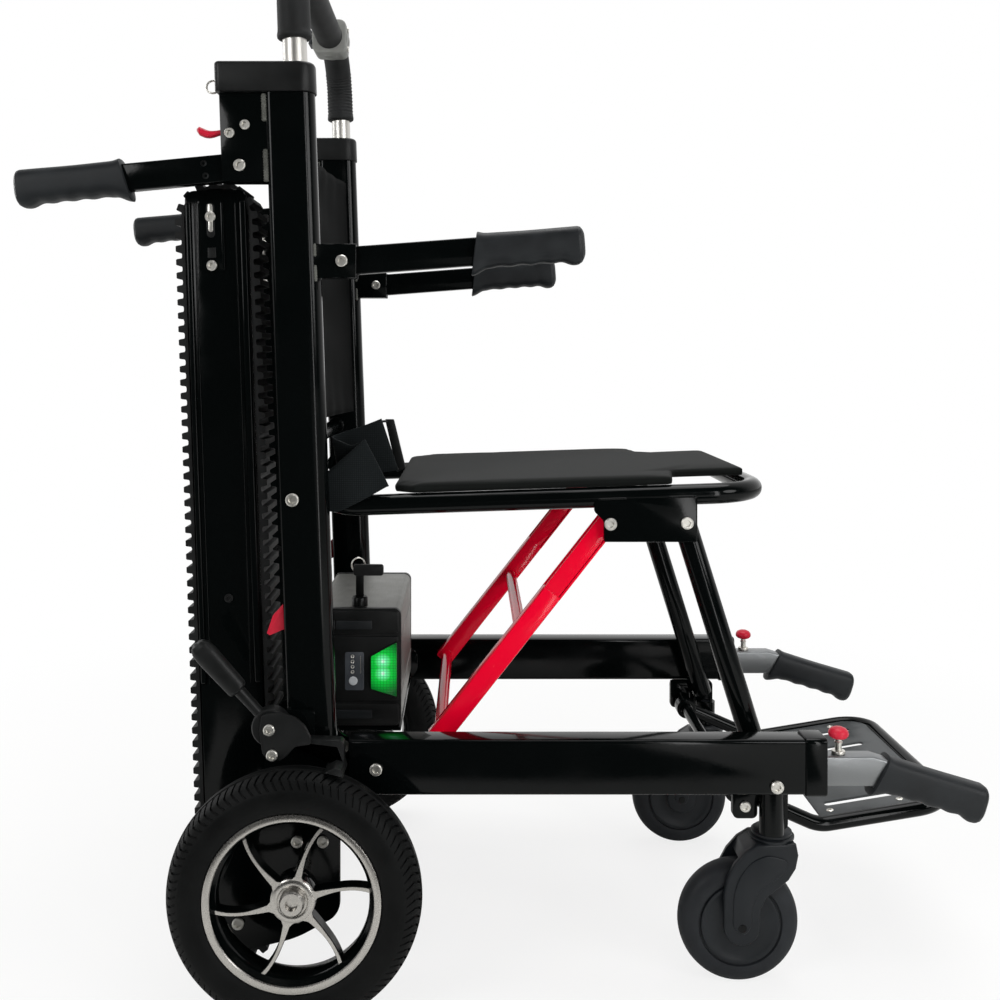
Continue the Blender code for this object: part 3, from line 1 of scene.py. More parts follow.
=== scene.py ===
# Looks of the stair climbing chair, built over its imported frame. Metres, +Z up, the sitter faces +X.
import math

import bmesh
import bpy
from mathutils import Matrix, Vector


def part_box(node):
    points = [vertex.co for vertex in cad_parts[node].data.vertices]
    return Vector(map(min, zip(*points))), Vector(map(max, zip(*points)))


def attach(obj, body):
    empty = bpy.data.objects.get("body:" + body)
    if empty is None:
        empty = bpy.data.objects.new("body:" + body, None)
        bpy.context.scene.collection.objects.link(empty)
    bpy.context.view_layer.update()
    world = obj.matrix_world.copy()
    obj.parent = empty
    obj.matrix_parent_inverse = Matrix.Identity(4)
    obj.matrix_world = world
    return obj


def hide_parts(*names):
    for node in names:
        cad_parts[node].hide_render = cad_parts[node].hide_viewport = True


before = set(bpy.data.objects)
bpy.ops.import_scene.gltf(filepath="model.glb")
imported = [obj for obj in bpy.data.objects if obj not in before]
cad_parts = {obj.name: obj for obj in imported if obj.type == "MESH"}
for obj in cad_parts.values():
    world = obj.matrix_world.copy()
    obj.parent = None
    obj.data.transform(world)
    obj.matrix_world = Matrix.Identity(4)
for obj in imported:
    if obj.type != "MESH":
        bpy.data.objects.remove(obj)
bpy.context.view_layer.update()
scene = bpy.context.scene

axleX = -0.1765                     # sizes below are measured along X from the drawing's datum plane
datumX = (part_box("wheel_axle")[0][0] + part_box("wheel_axle")[1][0]) / 2 - axleX
sides = {"right": -1, "left": 1}


# Shader nodes

def hexColour(code):
    channels = [int(code[i:i + 2], 16) / 255 for i in (1, 3, 5)]
    return [c / 12.92 if c <= 0.04045 else ((c + 0.055) / 1.055) ** 2.4 for c in channels] + [1.0]


def addNode(tree, kind, sockets=None, **settings):
    node = tree.nodes.new(kind)
    for key, value in settings.items():
        setattr(node, key, value)
    for key, value in (sockets or {}).items():
        if isinstance(value, bpy.types.NodeSocket):
            tree.links.new(value, node.inputs[key])
        else:
            node.inputs[key].default_value = value
    return node


def startMaterial(name, colour, **sockets):
    finish = bpy.data.materials.new(name)
    finish.use_nodes = True
    shader = finish.node_tree.nodes["Principled BSDF"]
    shader.inputs["Base Color"].default_value = hexColour(colour)
    for key, value in sockets.items():
        shader.inputs[key.replace("_", " ")].default_value = value
    where = addNode(finish.node_tree, "ShaderNodeTexCoord").outputs["Object"]
    return finish, finish.node_tree, shader, where


def perMetre(millimetres):          # texture scale for a feature of that size
    return 1000.0 / millimetres


def noise(tree, where, size, detail, **more):       # size in millimetres
    sockets = {"Vector": where, "Scale": perMetre(size), "Detail": detail, **more}
    return addNode(tree, "ShaderNodeTexNoise", sockets).outputs["Fac"]


def ranged(tree, value, start, end, low=0.0, high=1.0, **settings):
    sockets = {"Value": value, "From Min": start, "From Max": end, "To Min": low, "To Max": high}
    return addNode(tree, "ShaderNodeMapRange", sockets, **settings).outputs["Result"]


def eased(tree, value, start, end, low=0.0, high=1.0):
    return ranged(tree, value, start, end, low, high, interpolation_type="SMOOTHSTEP")


def combined(tree, operation, a, b):
    return addNode(tree, "ShaderNodeMath", {0: a, 1: b}, operation=operation).outputs["Value"]


def tinted(tree, share, colour, other):
    sockets = {"Factor": share, "A": hexColour(colour), "B": hexColour(other)}
    return addNode(tree, "ShaderNodeMix", sockets, data_type="RGBA").outputs["Result"]


def bumped(tree, height, strength, distance):
    sockets = {"Height": height, "Strength": strength, "Distance": distance}
    return addNode(tree, "ShaderNodeBump", sockets).outputs["Normal"]


def wire(tree, shader, **feeds):
    for key, output in feeds.items():
        tree.links.new(output, shader.inputs[key.replace("_", " ")])


# Shapes

def addPiece(bm, name, finish, body, replaced=(), sharp=40):
    bmesh.ops.remove_doubles(bm, verts=bm.verts, dist=1e-6)
    bmesh.ops.recalc_face_normals(bm, faces=bm.faces)
    bmesh.ops.translate(bm, verts=bm.verts, vec=(datumX, 0, 0))
    mesh = bpy.data.meshes.new(name)
    bm.to_mesh(mesh)
    bm.free()
    mesh.materials.append(finish)
    mesh.shade_smooth()
    mesh.set_sharp_from_angle(angle=math.radians(sharp))
    piece = bpy.data.objects.new(name, mesh)
    scene.collection.objects.link(piece)
    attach(piece, body)
    if replaced:
        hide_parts(*replaced)
    return piece


def thicken(piece, thickness):      # half to each side
    solid = piece.modifiers.new("cloth", "SOLIDIFY")
    solid.thickness = thickness
    solid.offset = 0


def newVerts(grown):
    return [item for item in grown["geom"] if isinstance(item, bmesh.types.BMVert)]


def addFace(bm, points):
    return bm.faces.new([bm.verts.new(point) for point in points])


def pushOut(bm, faces, move):       # the faces become a solid
    grown = bmesh.ops.extrude_face_region(bm, geom=faces)
    bmesh.ops.translate(bm, verts=newVerts(grown), vec=move)


def mergeInto(bm, other):           # the other shape is used up
    spare = bpy.data.meshes.new("spare")
    bmesh.ops.recalc_face_normals(other, faces=other.faces)
    other.to_mesh(spare)
    other.free()
    bm.from_mesh(spare)
    bpy.data.meshes.remove(spare)


def spans(edge, axis, least):       # the edge runs further than that along the axis
    return abs(edge.verts[0].co[axis] - edge.verts[1].co[axis]) > least


def bevelEdges(bm, edges, width, segments):
    bmesh.ops.bevel(bm, geom=edges, offset=width, segments=segments, profile=0.5, affect="EDGES",
                    material=-1)


def roundEdges(bm, width, segments=3, angle=30, only=None):
    edges = [e for e in bm.edges if len(e.link_faces) == 2 and e.calc_face_angle() > math.radians(angle)
             and (only is None or only(e))]
    bevelEdges(bm, edges, width, segments)


def plate(outline, yFrom, yTo):     # outline in X and Z
    bm = bmesh.new()
    pushOut(bm, [addFace(bm, [(x, yFrom, z) for x, z in outline])], (0, yTo - yFrom, 0))
    return bm


def slab(outline, yFrom, yTo, corner=0.0, edge=0.0008):  # a cut plate with rounded corners and broken edges
    bm = plate(outline, yFrom, yTo)
    if corner:
        bevelEdges(bm, [e for e in bm.edges if spans(e, 1, 1e-5)], corner, 5)
    roundEdges(bm, edge, 2, 50)
    return bm


def block(low, high):
    bm = bmesh.new()
    low, high = Vector(low), Vector(high)
    bmesh.ops.create_cube(bm, size=1.0)
    bmesh.ops.scale(bm, verts=bm.verts, vec=high - low)
    bmesh.ops.translate(bm, verts=bm.verts, vec=(low + high) / 2)
    return bm


def turned(profile, centre, axis, steps=48, ring=False):    # profile: distance along the axis, radius
    bm = bmesh.new()
    axis = Vector(axis)
    out = Vector((1, 0, 0)) if abs(axis.x) < 0.5 else Vector((0, 0, 1))
    line = [bm.verts.new(Vector(centre) + axis * run + out * radius) for run, radius in profile]
    edges = [bm.edges.new(pair) for pair in zip(line, line[1:])]
    if ring:
        edges.append(bm.edges.new((line[-1], line[0])))
    bmesh.ops.spin(bm, geom=line + edges, cent=centre, axis=axis, angle=math.tau, steps=steps,
                   use_merge=True)
    bmesh.ops.remove_doubles(bm, verts=bm.verts, dist=1e-6)
    bmesh.ops.recalc_face_normals(bm, faces=bm.faces)
    return bm


def mirrored(half, middle=()):      # a turned profile with two like ends
    return [(-run, radius) for run, radius in half] + list(middle) + half[::-1]


def bentRoute(corners, bend, steps=9):
    corners = [Vector(c) for c in corners]
    route = [corners[0]]
    for before, corner, after in zip(corners, corners[1:], corners[2:]):
        inward, outward = (before - corner).normalized(), (after - corner).normalized()
        half = inward.angle(outward) / 2
        centre = corner + (inward + outward).normalized() * bend / math.sin(half)
        start = corner + inward * bend / math.tan(half) - centre
        end = corner + outward * bend / math.tan(half) - centre
        route += [centre + start.slerp(end, i / steps).normalized() * bend for i in range(steps + 1)]
    return route + [corners[-1]]


def bentLoop(spine, y, bend, steps):        # the spine on both sides, joined across its far end
    return bentRoute([(x, -y, z) for x, z in spine] + [(x, y, z) for x, z in reversed(spine)], bend, steps)


def tube(route, radius, resolution=6, shares=None):     # shares of the radius, one for each point
    line = bpy.data.curves.new("route", "CURVE")
    line.dimensions = "3D"
    line.bevel_depth = radius
    line.bevel_resolution = resolution
    line.use_fill_caps = True
    spline = line.splines.new("POLY")
    spline.points.add(len(route) - 1)
    for i, (point, place) in enumerate(zip(spline.points, route)):
        point.co = (*place, 1)
        point.radius = shares[i] if shares else 1.0
    carrier = bpy.data.objects.new("route", line)
    mesh = bpy.data.meshes.new_from_object(carrier)
    bm = bmesh.new()
    bm.from_mesh(mesh)
    bpy.data.objects.remove(carrier)
    bpy.data.curves.remove(line)
    bpy.data.meshes.remove(mesh)
    bmesh.ops.remove_doubles(bm, verts=bm.verts, dist=1e-6)
    return bm


def crossTube(place, reach, radius, resolution):    # from side to side
    return tube([(place[0], -reach, place[1]), (place[0], reach, place[1])], radius, resolution)


def along(start, angle, run, rise=0.0):     # a point in the XZ plane
    return (start[0] + run * math.cos(angle) - rise * math.sin(angle),
            start[1] + run * math.sin(angle) + rise * math.cos(angle))


def laid(start, angle, points):
    return [along(start, angle, run, rise) for run, rise in points]


def arc(centre, radius, first, turn, steps):        # angles in radians
    return [along(centre, first + turn * i / steps, radius) for i in range(steps + 1)]


def angleTo(start, end):
    return math.atan2(end[1] - start[1], end[0] - start[0])


def oblong(left, right, bottom, top):
    return [(left, bottom), (right, bottom), (right, top), (left, top)]


def pill(start, end, radius, steps=10):     # outline round two centres
    tilt = angleTo(start, end)
    return (arc(end, radius, tilt - math.pi / 2, math.pi, steps)
            + arc(start, radius, tilt + math.pi / 2, math.pi, steps))


def drawnOut(section, stations, place):     # a section drawn along the stations, closed at both ends
    bm = bmesh.new()
    line = [bm.verts.new(place(point, stations[0])) for point in section]
    face = bm.faces.new(line)
    for station in stations[1:]:
        order = {tuple(vert.co): i for i, vert in enumerate(line)}
        grown = bmesh.ops.extrude_face_region(bm, geom=[face])
        face = next(item for item in grown["geom"] if isinstance(item, bmesh.types.BMFace))
        line = sorted(newVerts(grown), key=lambda vert: order[tuple(vert.co)])
        for vert, point in zip(line, section):
            vert.co = place(point, station)
    return bm


def ovalOutline(width, height, power=2.6, steps=36):  # from an ellipse at 2 towards a box as the power grows
    points = []
    for i in range(steps):
        turn = math.tau * (i + 0.5) / steps
        c, s = math.cos(turn), math.sin(turn)
        points.append((math.copysign(abs(c) ** (2 / power), c) * width / 2,
                       math.copysign(abs(s) ** (2 / power), s) * height / 2))
    return points


def socketBolt(bm, centre, axis, radius, rise):     # a cap screw's head with its socket
    profile = [(0, 0), (0, radius), (0.7 * rise, radius), (rise, 0.84 * radius), (rise, 0.52 * radius),
               (0.3 * rise, 0.45 * radius), (0.3 * rise, 0)]
    mergeInto(bm, turned(profile, centre, axis, 18))


def sideBolt(bm, place, y, sign, radius, rise=0.0030):      # its head stands out to that side
    socketBolt(bm, (place[0], y, place[1]), (0, sign, 0), radius, rise)


def weldBead(bm, start, end, radius):       # overlapping ripples of a hand weld
    start, end = Vector(start), Vector(end)
    steps = max(4, round((end - start).length / 0.0009))
    route = [start.lerp(end, i / steps) for i in range(steps + 1)]
    shares = [0.55 if i in (0, steps) else 0.86 + 0.14 * math.cos(i * math.tau / 3)
              for i in range(steps + 1)]
    mergeInto(bm, tube(route, radius, 3, shares))


def weldRing(bm, centre, y, radius, bead, steps):       # a weld right round a tube
    route = [(x, y, z) for x, z in arc(centre, radius, 0.0, math.tau, steps)]
    mergeInto(bm, tube(route, bead, 3, [0.85 + 0.15 * math.cos(2.1 * i) for i in range(steps + 1)]))


def wireRing(eye, reach, turn, steps):      # a ring of wire, leaning out of its plane
    angles = [math.tau * i / steps for i in range(steps + 1)]
    return [Vector((eye[0] + reach[0] * math.cos(a), eye[1] + reach[1] * math.cos(a + turn),
                    eye[2] + reach[2] * math.sin(a))) for a in angles]


print("frame loaded")


# Finishes

def sprayedEnamel(name, colour, scuffColour, specular):     # stoved gloss: faint orange peel, fine scuffs
    finish, tree, shader, where = startMaterial(name, colour, Specular_IOR_Level=specular)
    worn = ranged(tree, noise(tree, where, 9, 9.0, Roughness=0.75), 0.69, 0.76, 0.0, 0.55)
    wire(tree, shader, Base_Color=tinted(tree, worn, colour, scuffColour),
         Roughness=ranged(tree, noise(tree, where, 45, 4.0), 0.35, 0.7, 0.07, 0.19),
         Normal=bumped(tree, noise(tree, where, 3.5, 1.0), 0.06, 0.0004))
    return finish


def moulded(name, colour, paler, grain, depth, rough, **sockets):   # grain in mm, depth as bump strength
    finish, tree, shader, where = startMaterial(name, colour, **{"Specular_IOR_Level": 0.22, **sockets})
    drift = noise(tree, where, 28, 5.0)
    wire(tree, shader, Base_Color=tinted(tree, ranged(tree, drift, 0.35, 0.75), colour, paler),
         Roughness=ranged(tree, drift, 0.3, 0.7, rough - 0.06, rough + 0.06),
         Normal=bumped(tree, noise(tree, where, grain, 2.0), depth, 0.0005))
    return finish


def workedMetal(name, colour, stretch, line, rough, spread):  # tool lines run along the axis of low stretch
    finish, tree, shader, where = startMaterial(name, colour, Metallic=1.0)
    drawn = addNode(tree, "ShaderNodeMapping", {"Vector": where, "Scale": stretch}).outputs["Vector"]
    lines = noise(tree, drawn, line, 4.0)
    both = addNode(tree, "ShaderNodeMix", {"Factor": 0.4, "A": lines, "B": noise(tree, where, 20, 5.0)},
                   data_type="FLOAT").outputs["Result"]
    wire(tree, shader, Roughness=ranged(tree, both, 0.3, 0.7, rough - spread, rough + spread),
         Normal=bumped(tree, lines, 0.12, 0.0002))
    return finish


def woven(name, colour, paler, thread, axes, depth, sheen):     # plain weave, the thread in millimetres
    finish, tree, shader, where = startMaterial(name, colour, Roughness=0.85, Sheen_Weight=sheen,
                                                Sheen_Roughness=0.4, Specular_IOR_Level=0.08)
    threads = {"Vector": where, "Scale": perMetre(thread) * math.pi / 10}
    warp, weft = [addNode(tree, "ShaderNodeTexWave", threads, bands_direction=axis).outputs["Fac"]
                  for axis in axes]
    cross = combined(tree, "MULTIPLY", warp, weft)
    tone = combined(tree, "MULTIPLY", cross, noise(tree, where, 45, 4.0))
    wire(tree, shader, Base_Color=tinted(tree, tone, colour, paler),
         Normal=bumped(tree, cross, depth, 0.0004))
    return finish


def litLens(name, spots):           # polycarbonate with a fine prism grid, two lamps behind it
    finish, tree, shader, where = startMaterial(name, "#0a5a22", Roughness=0.18, Emission_Strength=0.9)
    reach = 0.024                   # how far a lamp's light spreads in the lens
    glows = []
    for spot in spots:
        near = addNode(tree, "ShaderNodeMapping", {"Vector": where, "Location": [-c / reach for c in spot],
                                                   "Scale": [1 / reach] * 3}).outputs["Vector"]
        glows.append(addNode(tree, "ShaderNodeTexGradient", {"Vector": near},
                             gradient_type="SPHERICAL").outputs["Fac"])
    upright = addNode(tree, "ShaderNodeMapping", {"Vector": where, "Rotation": (-math.pi / 2, 0, 0)})
    prisms = addNode(tree, "ShaderNodeTexBrick", {
        "Vector": upright.outputs["Vector"], "Scale": 1.0, "Mortar Size": 0.0003, "Mortar Smooth": 0.3,
        "Brick Width": 0.0036, "Row Height": 0.0030, "Color1": (1, 1, 1, 1), "Color2": (1, 1, 1, 1),
        "Mortar": (0.42, 0.42, 0.42, 1)}, offset=0.0)
    ramp = addNode(tree, "ShaderNodeValToRGB", {"Fac": combined(tree, "MAXIMUM", *glows)})
    stops = ramp.color_ramp.elements
    stops[0].color, stops[1].color = hexColour("#053514"), hexColour("#f2fff8")
    for place, code in ((0.25, "#067a24"), (0.62, "#10c83e"), (0.88, "#7dffb6")):
        stops.new(place).color = hexColour(code)
    lit = addNode(tree, "ShaderNodeMix", {"Factor": 1.0, "A": ramp.outputs["Color"],
                                          "B": prisms.outputs["Color"]},
                  data_type="RGBA", blend_type="MULTIPLY").outputs["Result"]
    wire(tree, shader, Emission_Color=lit, Normal=bumped(tree, prisms.outputs["Fac"], 0.4, 0.0003))
    return finish


blackEnamel = sprayedEnamel("blackEnamel", "#040606", "#3a3b39", 0.14)  # deep gloss, soft highlights
redEnamel = sprayedEnamel("redEnamel", "#dc0429", "#e39aa1", 0.16)  # bright gloss of the strut frame
treadPaint = moulded("treadPaint", "#3c3f40", "#525556", 1.6, 0.16, 0.42)  # grey textured powder coat
satinAbs = moulded("satinAbs", "#101111", "#171818", 0.9, 0.10, 0.40)  # spark-grained caps and cases
paleAbs = moulded("paleAbs", "#33363a", "#474b50", 0.7, 0.05, 0.45)  # the gauge's grey moulding
buttonAbs = moulded("buttonAbs", "#a9adb0", "#b9bcbe", 0.7, 0.05, 0.40)  # pale, smooth and even
podAbs = moulded("podAbs", "#757673", "#868783", 0.8, 0.06, 0.42)  # grey control housing
gripNylon = moulded("gripNylon", "#181a1c", "#212426", 0.8, 0.22, 0.46)  # glass-filled, fine sandy grain
casterNylon = moulded("casterNylon", "#15181b", "#1c1f22", 1.2, 0.08, 0.38)  # smooth injection moulding
casterTread = moulded("casterTread", "#191b1e", "#24272a", 1.0, 0.15, 0.55)  # thermoplastic rubber
gripFoam = moulded("gripFoam", "#141515", "#1f2021", 1.0, 0.30, 0.60)  # soft rubber sleeve
tyreRubber = moulded("tyreRubber", "#050606", "#0d0e0e", 1.4, 0.25, 0.55,  # vulcanised, a little dusty
                     Specular_IOR_Level=0.11)
beltRubber = moulded("beltRubber", "#0e0f0f", "#1b1c1c", 1.2, 0.25, 0.55)  # neoprene track belt
weldPaintedHighlight = moulded("weldPaintedHighlight", "#3c3d39", "#6a6b66", 1.2, 0.3, 0.32)  # painted weld, made lighter grey than the enamel as a painted highlight on its ripples
redNylon = moulded("redNylon", "#b3142c", "#c92a3f", 1.0, 0.08, 0.34)  # dyed through, a soft sheen
darkSteel = moulded("darkSteel", "#141515", "#242525", 2.0, 0.12, 0.36, Metallic=0.7)  # phosphated shafts
chromeTube = workedMetal("chromeTube", "#cfcdc8", (1, 1, 0.03), 0.8, 0.40, 0.06)  # plated, satin glints
brushedAlloy = workedMetal("brushedAlloy", "#808283", (0.03, 1, 1), 0.7, 0.38, 0.10)  # satin lines along X
shellAlloy = workedMetal("shellAlloy", "#82827e", (1, 0.03, 1), 0.8, 0.46, 0.08)  # anodised, brushed along Y
turnedAlloy = workedMetal("turnedAlloy", "#b3b0ab", (1, 1, 1), 1.5, 0.28, 0.06)  # bright lathe-cut faces
zincBolt = workedMetal("zincBolt", "#dcdad3", (1, 1, 1), 1.0, 0.40, 0.06)  # pale plated fasteners
padCloth = woven("padCloth", "#0e100f", "#1d201e", 1.5, ("X", "Y"), 0.18, 0.06)  # coated polyester over foam
slingClothShaded = woven("slingClothShaded", "#020303", "#070909", 1.6, ("Y", "Z"), 0.3, 0.0)  # black canvas, darkened further as painted shade between the posts
webbing = woven("webbing", "#0f1213", "#2a2f30", 2.0, ("X", "Z"), 0.25, 0.06)  # ribbed polyester strap
print("finishes made")


# Studio

studio = {"camera": (datumX, -1.339, 0.664), "lens": 39.6, "shift": (0.0277, -0.146),
          "floor": "#f4f4f2", "floorReach": 70.0, "room": 0.42, "card": 0.06}


def makeCamera():
    camera = bpy.data.objects.new("camera", bpy.data.cameras.new("camera"))
    camera.location = studio["camera"]
    camera.rotation_euler = (math.pi / 2, 0, 0)
    camera.data.lens = studio["lens"]
    camera.data.sensor_width = 36
    camera.data.shift_x, camera.data.shift_y = studio["shift"]
    camera.data.clip_start = 0.05
    scene.collection.objects.link(camera)
    scene.camera = camera
    scene.view_settings.view_transform = "Standard"


def makeFloor():
    bm = bmesh.new()
    bmesh.ops.create_grid(bm, x_segments=1, y_segments=1, size=studio["floorReach"])
    mesh = bpy.data.meshes.new("floor")
    bm.to_mesh(mesh)
    bm.free()
    floor = bpy.data.objects.new("floor", mesh)
    scene.collection.objects.link(floor)
    paper, tree, shader, where = startMaterial("paperFloor", studio["floor"], Roughness=0.9,
                                               Specular_IOR_Level=0.1)
    path = addNode(tree, "ShaderNodeLightPath").outputs
    white = addNode(tree, "ShaderNodeEmission", {"Color": (1, 1, 1, 1), "Strength": 1.0})
    reach = addNode(tree, "ShaderNodeVectorMath", {0: where}, operation="LENGTH").outputs["Value"]
    seen = combined(tree, "MULTIPLY", path["Is Camera Ray"], eased(tree, reach, 0.55, 1.5, 0.80, 1.0))
    bare = addNode(tree, "ShaderNodeMixShader", {0: seen, 1: shader.outputs["BSDF"],
                                                 2: white.outputs["Emission"]})
    place = addNode(tree, "ShaderNodeSeparateXYZ", {"Vector": where}).outputs
    spread = combined(tree, "MULTIPLY", eased(tree, place["Y"], -0.60, -0.72),
                      eased(tree, place["X"], 0.58, 0.52))
    carded = combined(tree, "MULTIPLY", path["Is Glossy Ray"], spread)  # a dark card laid before the chair
    card = addNode(tree, "ShaderNodeEmission", {"Color": (1, 1, 1, 1), "Strength": studio["card"]})
    ground = addNode(tree, "ShaderNodeMixShader", {0: carded, 1: bare.outputs["Shader"],
                                                   2: card.outputs["Emission"]})
    wire(tree, tree.nodes["Material Output"], Surface=ground.outputs["Shader"])
    mesh.materials.append(paper)


def makeRoom():
    world = bpy.data.worlds.new("studio")
    scene.world = world
    world.use_nodes = True
    tree = world.node_tree
    sky = tree.nodes["Background"]
    path = addNode(tree, "ShaderNodeLightPath").outputs
    view = addNode(tree, "ShaderNodeTexCoord").outputs["Generated"]
    split = addNode(tree, "ShaderNodeSeparateXYZ", {"Vector": view}).outputs
    behind = eased(tree, split["Y"], -0.35, 0.2, 0.02)
    shiny = combined(tree, "MAXIMUM", path["Is Glossy Ray"], path["Is Transmission Ray"])
    room = addNode(tree, "ShaderNodeMix", {"Factor": shiny, "A": studio["room"], "B": behind},
                   data_type="FLOAT")
    sky.inputs["Color"].default_value = (1, 1, 1, 1)
    wire(tree, sky, Strength=combined(tree, "MAXIMUM", room.outputs["Result"], path["Is Camera Ray"]))

    for name, place, target, size, power in (
            ("overhead", (0.3, 0.2, 2.6), (0.0, 0.0, 0.4), (1.8, 1.8), 32),
            ("leftSoft", (-1.9, -2.0, 1.5), (0.0, 0.0, 0.5), (1.2, 1.2), 24),
            ("rightSoft", (2.0, -1.9, 1.4), (0.2, 0.0, 0.4), (1.2, 1.2), 24),
            ("leftStrip", (-1.6, 0.5, 0.9), (-0.1, 0.0, 0.6), (0.10, 1.5), 5),
            ("rightStrip", (0.9, -2.0, 0.8), (-0.1, 0.0, 0.6), (0.22, 1.6), 9)):
        lamp = bpy.data.lights.new(name, "AREA")
        lamp.shape = "ELLIPSE" if size[0] == size[1] else "RECTANGLE"
        lamp.size, lamp.size_y = size
        lamp.energy = power
        holder = bpy.data.objects.new(name, lamp)
        holder.location = place
        holder.rotation_euler = (Vector(target) - Vector(place)).to_track_quat("-Z", "Y").to_euler()
        scene.collection.objects.link(holder)
    print("studio set")


makeCamera()
makeFloor()
makeRoom()


# Posts, with their gussets, arm brackets, base plates and brake plates

post = {"depth": 0.050, "width": 0.030, "foot": 0.263, "top": 0.9323, "x": -0.166, "datum": 0.310,
        "lean": math.radians(2.02), "y": 0.2, "sheet": 0.004, "edge": 0.0009, "corner": 0.0065,
        "nose": 0.014, "gussetReach": 0.072, "gussetFoot": 0.841, "rearBar": 0.0078,
        "armBracket": (0.742, 0.777), "armFront": -0.119, "armFloor": 0.7447, "armBolt": (-0.134, 0.7595),
        "rearBolt": (-0.2385, 0.8575), "stopBolts": ((-0.233, 0.899), (-0.2488, 0.8905)),
        "seatBolt": (-0.184, 0.515), "railBolt": (-0.0985, 0.2395), "bossZ": 0.281, "bossY": 0.181,
        "baseY": (0.177, 0.1835), "brakeY": (0.214, 0.22),
        "rearSeam": {"off": -0.0260, "bead": 0.0034, "runs": ((0.931, 0.9025), (0.874, 0.8405))},
        "armSeam": {"off": 0.0208, "bead": 0.0020, "runs": ((0.777, 0.764), (0.755, 0.7385))},
        "base": [(-0.075, 0.258), (-0.075, 0.222), (-0.139, 0.200), (-0.139, 0.075), (-0.185, 0.050),
                 (-0.235, 0.038), (-0.268, 0.050), (-0.275, 0.085), (-0.225, 0.200), (-0.205, 0.300),
                 (-0.150, 0.300), (-0.140, 0.262)],
        "baseBolts": (((-0.246, 0.066), 0.0035), ((-0.184, 0.152), 0.0035), ((-0.1568, 0.152), 0.0035),
                      ((-0.1348, 0.2521), 0.0012)),
        "brake": [(-0.222, 0.280), (-0.210, 0.259), (-0.160, 0.259), (-0.160, 0.302), (-0.210, 0.302)],
        "tab": [(-0.1925, 0.4061), (-0.1960, 0.4050), (-0.2064, 0.3936), (-0.2126, 0.3750),
                (-0.2095, 0.3730), (-0.1925, 0.3802)], "tabY": (0.1985, 0.2015)}


def postX(z):
    return post["x"] - (z - post["datum"]) * math.tan(post["lean"])


def postTube(low, high, y):         # round-fronted tube, its rear corners tighter
    outline = []
    for first, (front, across) in enumerate(((1, 1), (-1, 1), (-1, -1), (1, -1))):
        corner = post["nose"] if front > 0 else post["corner"]
        centre = (front * (post["depth"] / 2 - corner), across * (post["width"] / 2 - corner))
        outline += arc(centre, corner, math.pi / 2 * first, math.pi / 2, 10)
    bm = bmesh.new()
    pushOut(bm, [addFace(bm, [(x, across, 0) for x, across in outline])], (0, 0, high - low))
    bmesh.ops.recalc_face_normals(bm, faces=bm.faces)
    for vert in bm.verts:
        vert.co += Vector((postX(low + vert.co.z), y, low))
    return bm


def makePosts():
    beads, tabs = bmesh.new(), bmesh.new()
    root = post["depth"] / 2 - post["corner"]
    low, high = post["gussetFoot"], post["top"]
    gusset = [(postX(low) - root, low), (postX(high) - root, high),
              (postX(high) - post["gussetReach"], high), (postX(low) - post["gussetReach"], low)]
    armLow, armHigh = post["armBracket"]
    bracket = [(postX(armLow) + root, armLow), (post["armFront"], armLow), (post["armFront"], armHigh),
               (postX(armHigh) + root, armHigh)]
    for name, side in sides.items():
        y = side * post["y"]
        bm = postTube(post["foot"], post["top"], y)
        for sign in (-1, 1):
            inner, outer = y + sign * post["rearBar"], y + sign * (post["rearBar"] + post["sheet"])
            mergeInto(bm, slab(gusset, inner, outer, 0, post["edge"]))
            mergeInto(bm, slab(bracket, inner, outer, 0, post["edge"]))
            for seam in (post["rearSeam"], post["armSeam"]):
                for ends in seam["runs"]:
                    out = y + sign * (post["rearBar"] + post["sheet"] * 0.9)
                    start, end = [(postX(z) + seam["off"], out, z) for z in ends]
                    weldBead(beads, start, end, seam["bead"])
        mergeInto(bm, block((postX(armLow) + root, y - 0.0098, armLow),
                            (post["armFront"] - 0.002, y + 0.0098, post["armFloor"])))
        mergeInto(bm, slab(post["base"], side * post["baseY"][0], side * post["baseY"][1], 0.012))
        mergeInto(bm, turned([(0, 0), (0, 0.015), (0.0055, 0.015), (0.0055, 0)],
                             (postX(post["bossZ"]), side * post["bossY"], post["bossZ"]), (0, side, 0), 32))
        mergeInto(bm, slab(post["brake"], side * post["brakeY"][0], side * post["brakeY"][1], 0.005))
        addPiece(bm, "post" + name.title(), blackEnamel, "frame", ["post_" + name])
        mergeInto(tabs, slab(post["tab"], side * post["tabY"][0], side * post["tabY"][1], 0.0006, 0.0005))
    # the welds take the lighter grey, a painted highlight along each seam
    addPiece(beads, "postWelds", weldPaintedHighlight, "frame", sharp=70)
    addPiece(tabs, "postTabs", redNylon, "frame")

    bm = bmesh.new()
    for side in sides.values():
        for sign in (-1, 1):
            face = side * post["y"] + sign * (post["rearBar"] + post["sheet"])
            for place, radius in ((post["rearBolt"], 0.0062), (post["stopBolts"][0], 0.0052),
                                  (post["stopBolts"][1], 0.0052), (post["armBolt"], 0.0062)):
                sideBolt(bm, place, face, sign, radius)
        outer = side * (post["y"] + post["width"] / 2)
        sideBolt(bm, post["seatBolt"], outer, side, 0.0068, 0.0032)
        sideBolt(bm, post["railBolt"], outer, side, 0.0064)
        for place, rise in post["baseBolts"]:
            sideBolt(bm, place, side * post["baseY"][1], side, 0.0062, rise)
    addPiece(bm, "frameBolts", zincBolt, "frame")


makePosts()


# Caps on the posts, a split ring behind each

cap = {"height": 0.031, "rear": 0.0755, "front": 0.0265, "width": 0.036, "nose": 0.0150, "heel": 0.006,
       "brow": 0.0035, "gap": 0.0003, "ring": (0.0068, 0.0015, 0.0068), "ringY": 0.204, "ringZ": 0.9395}


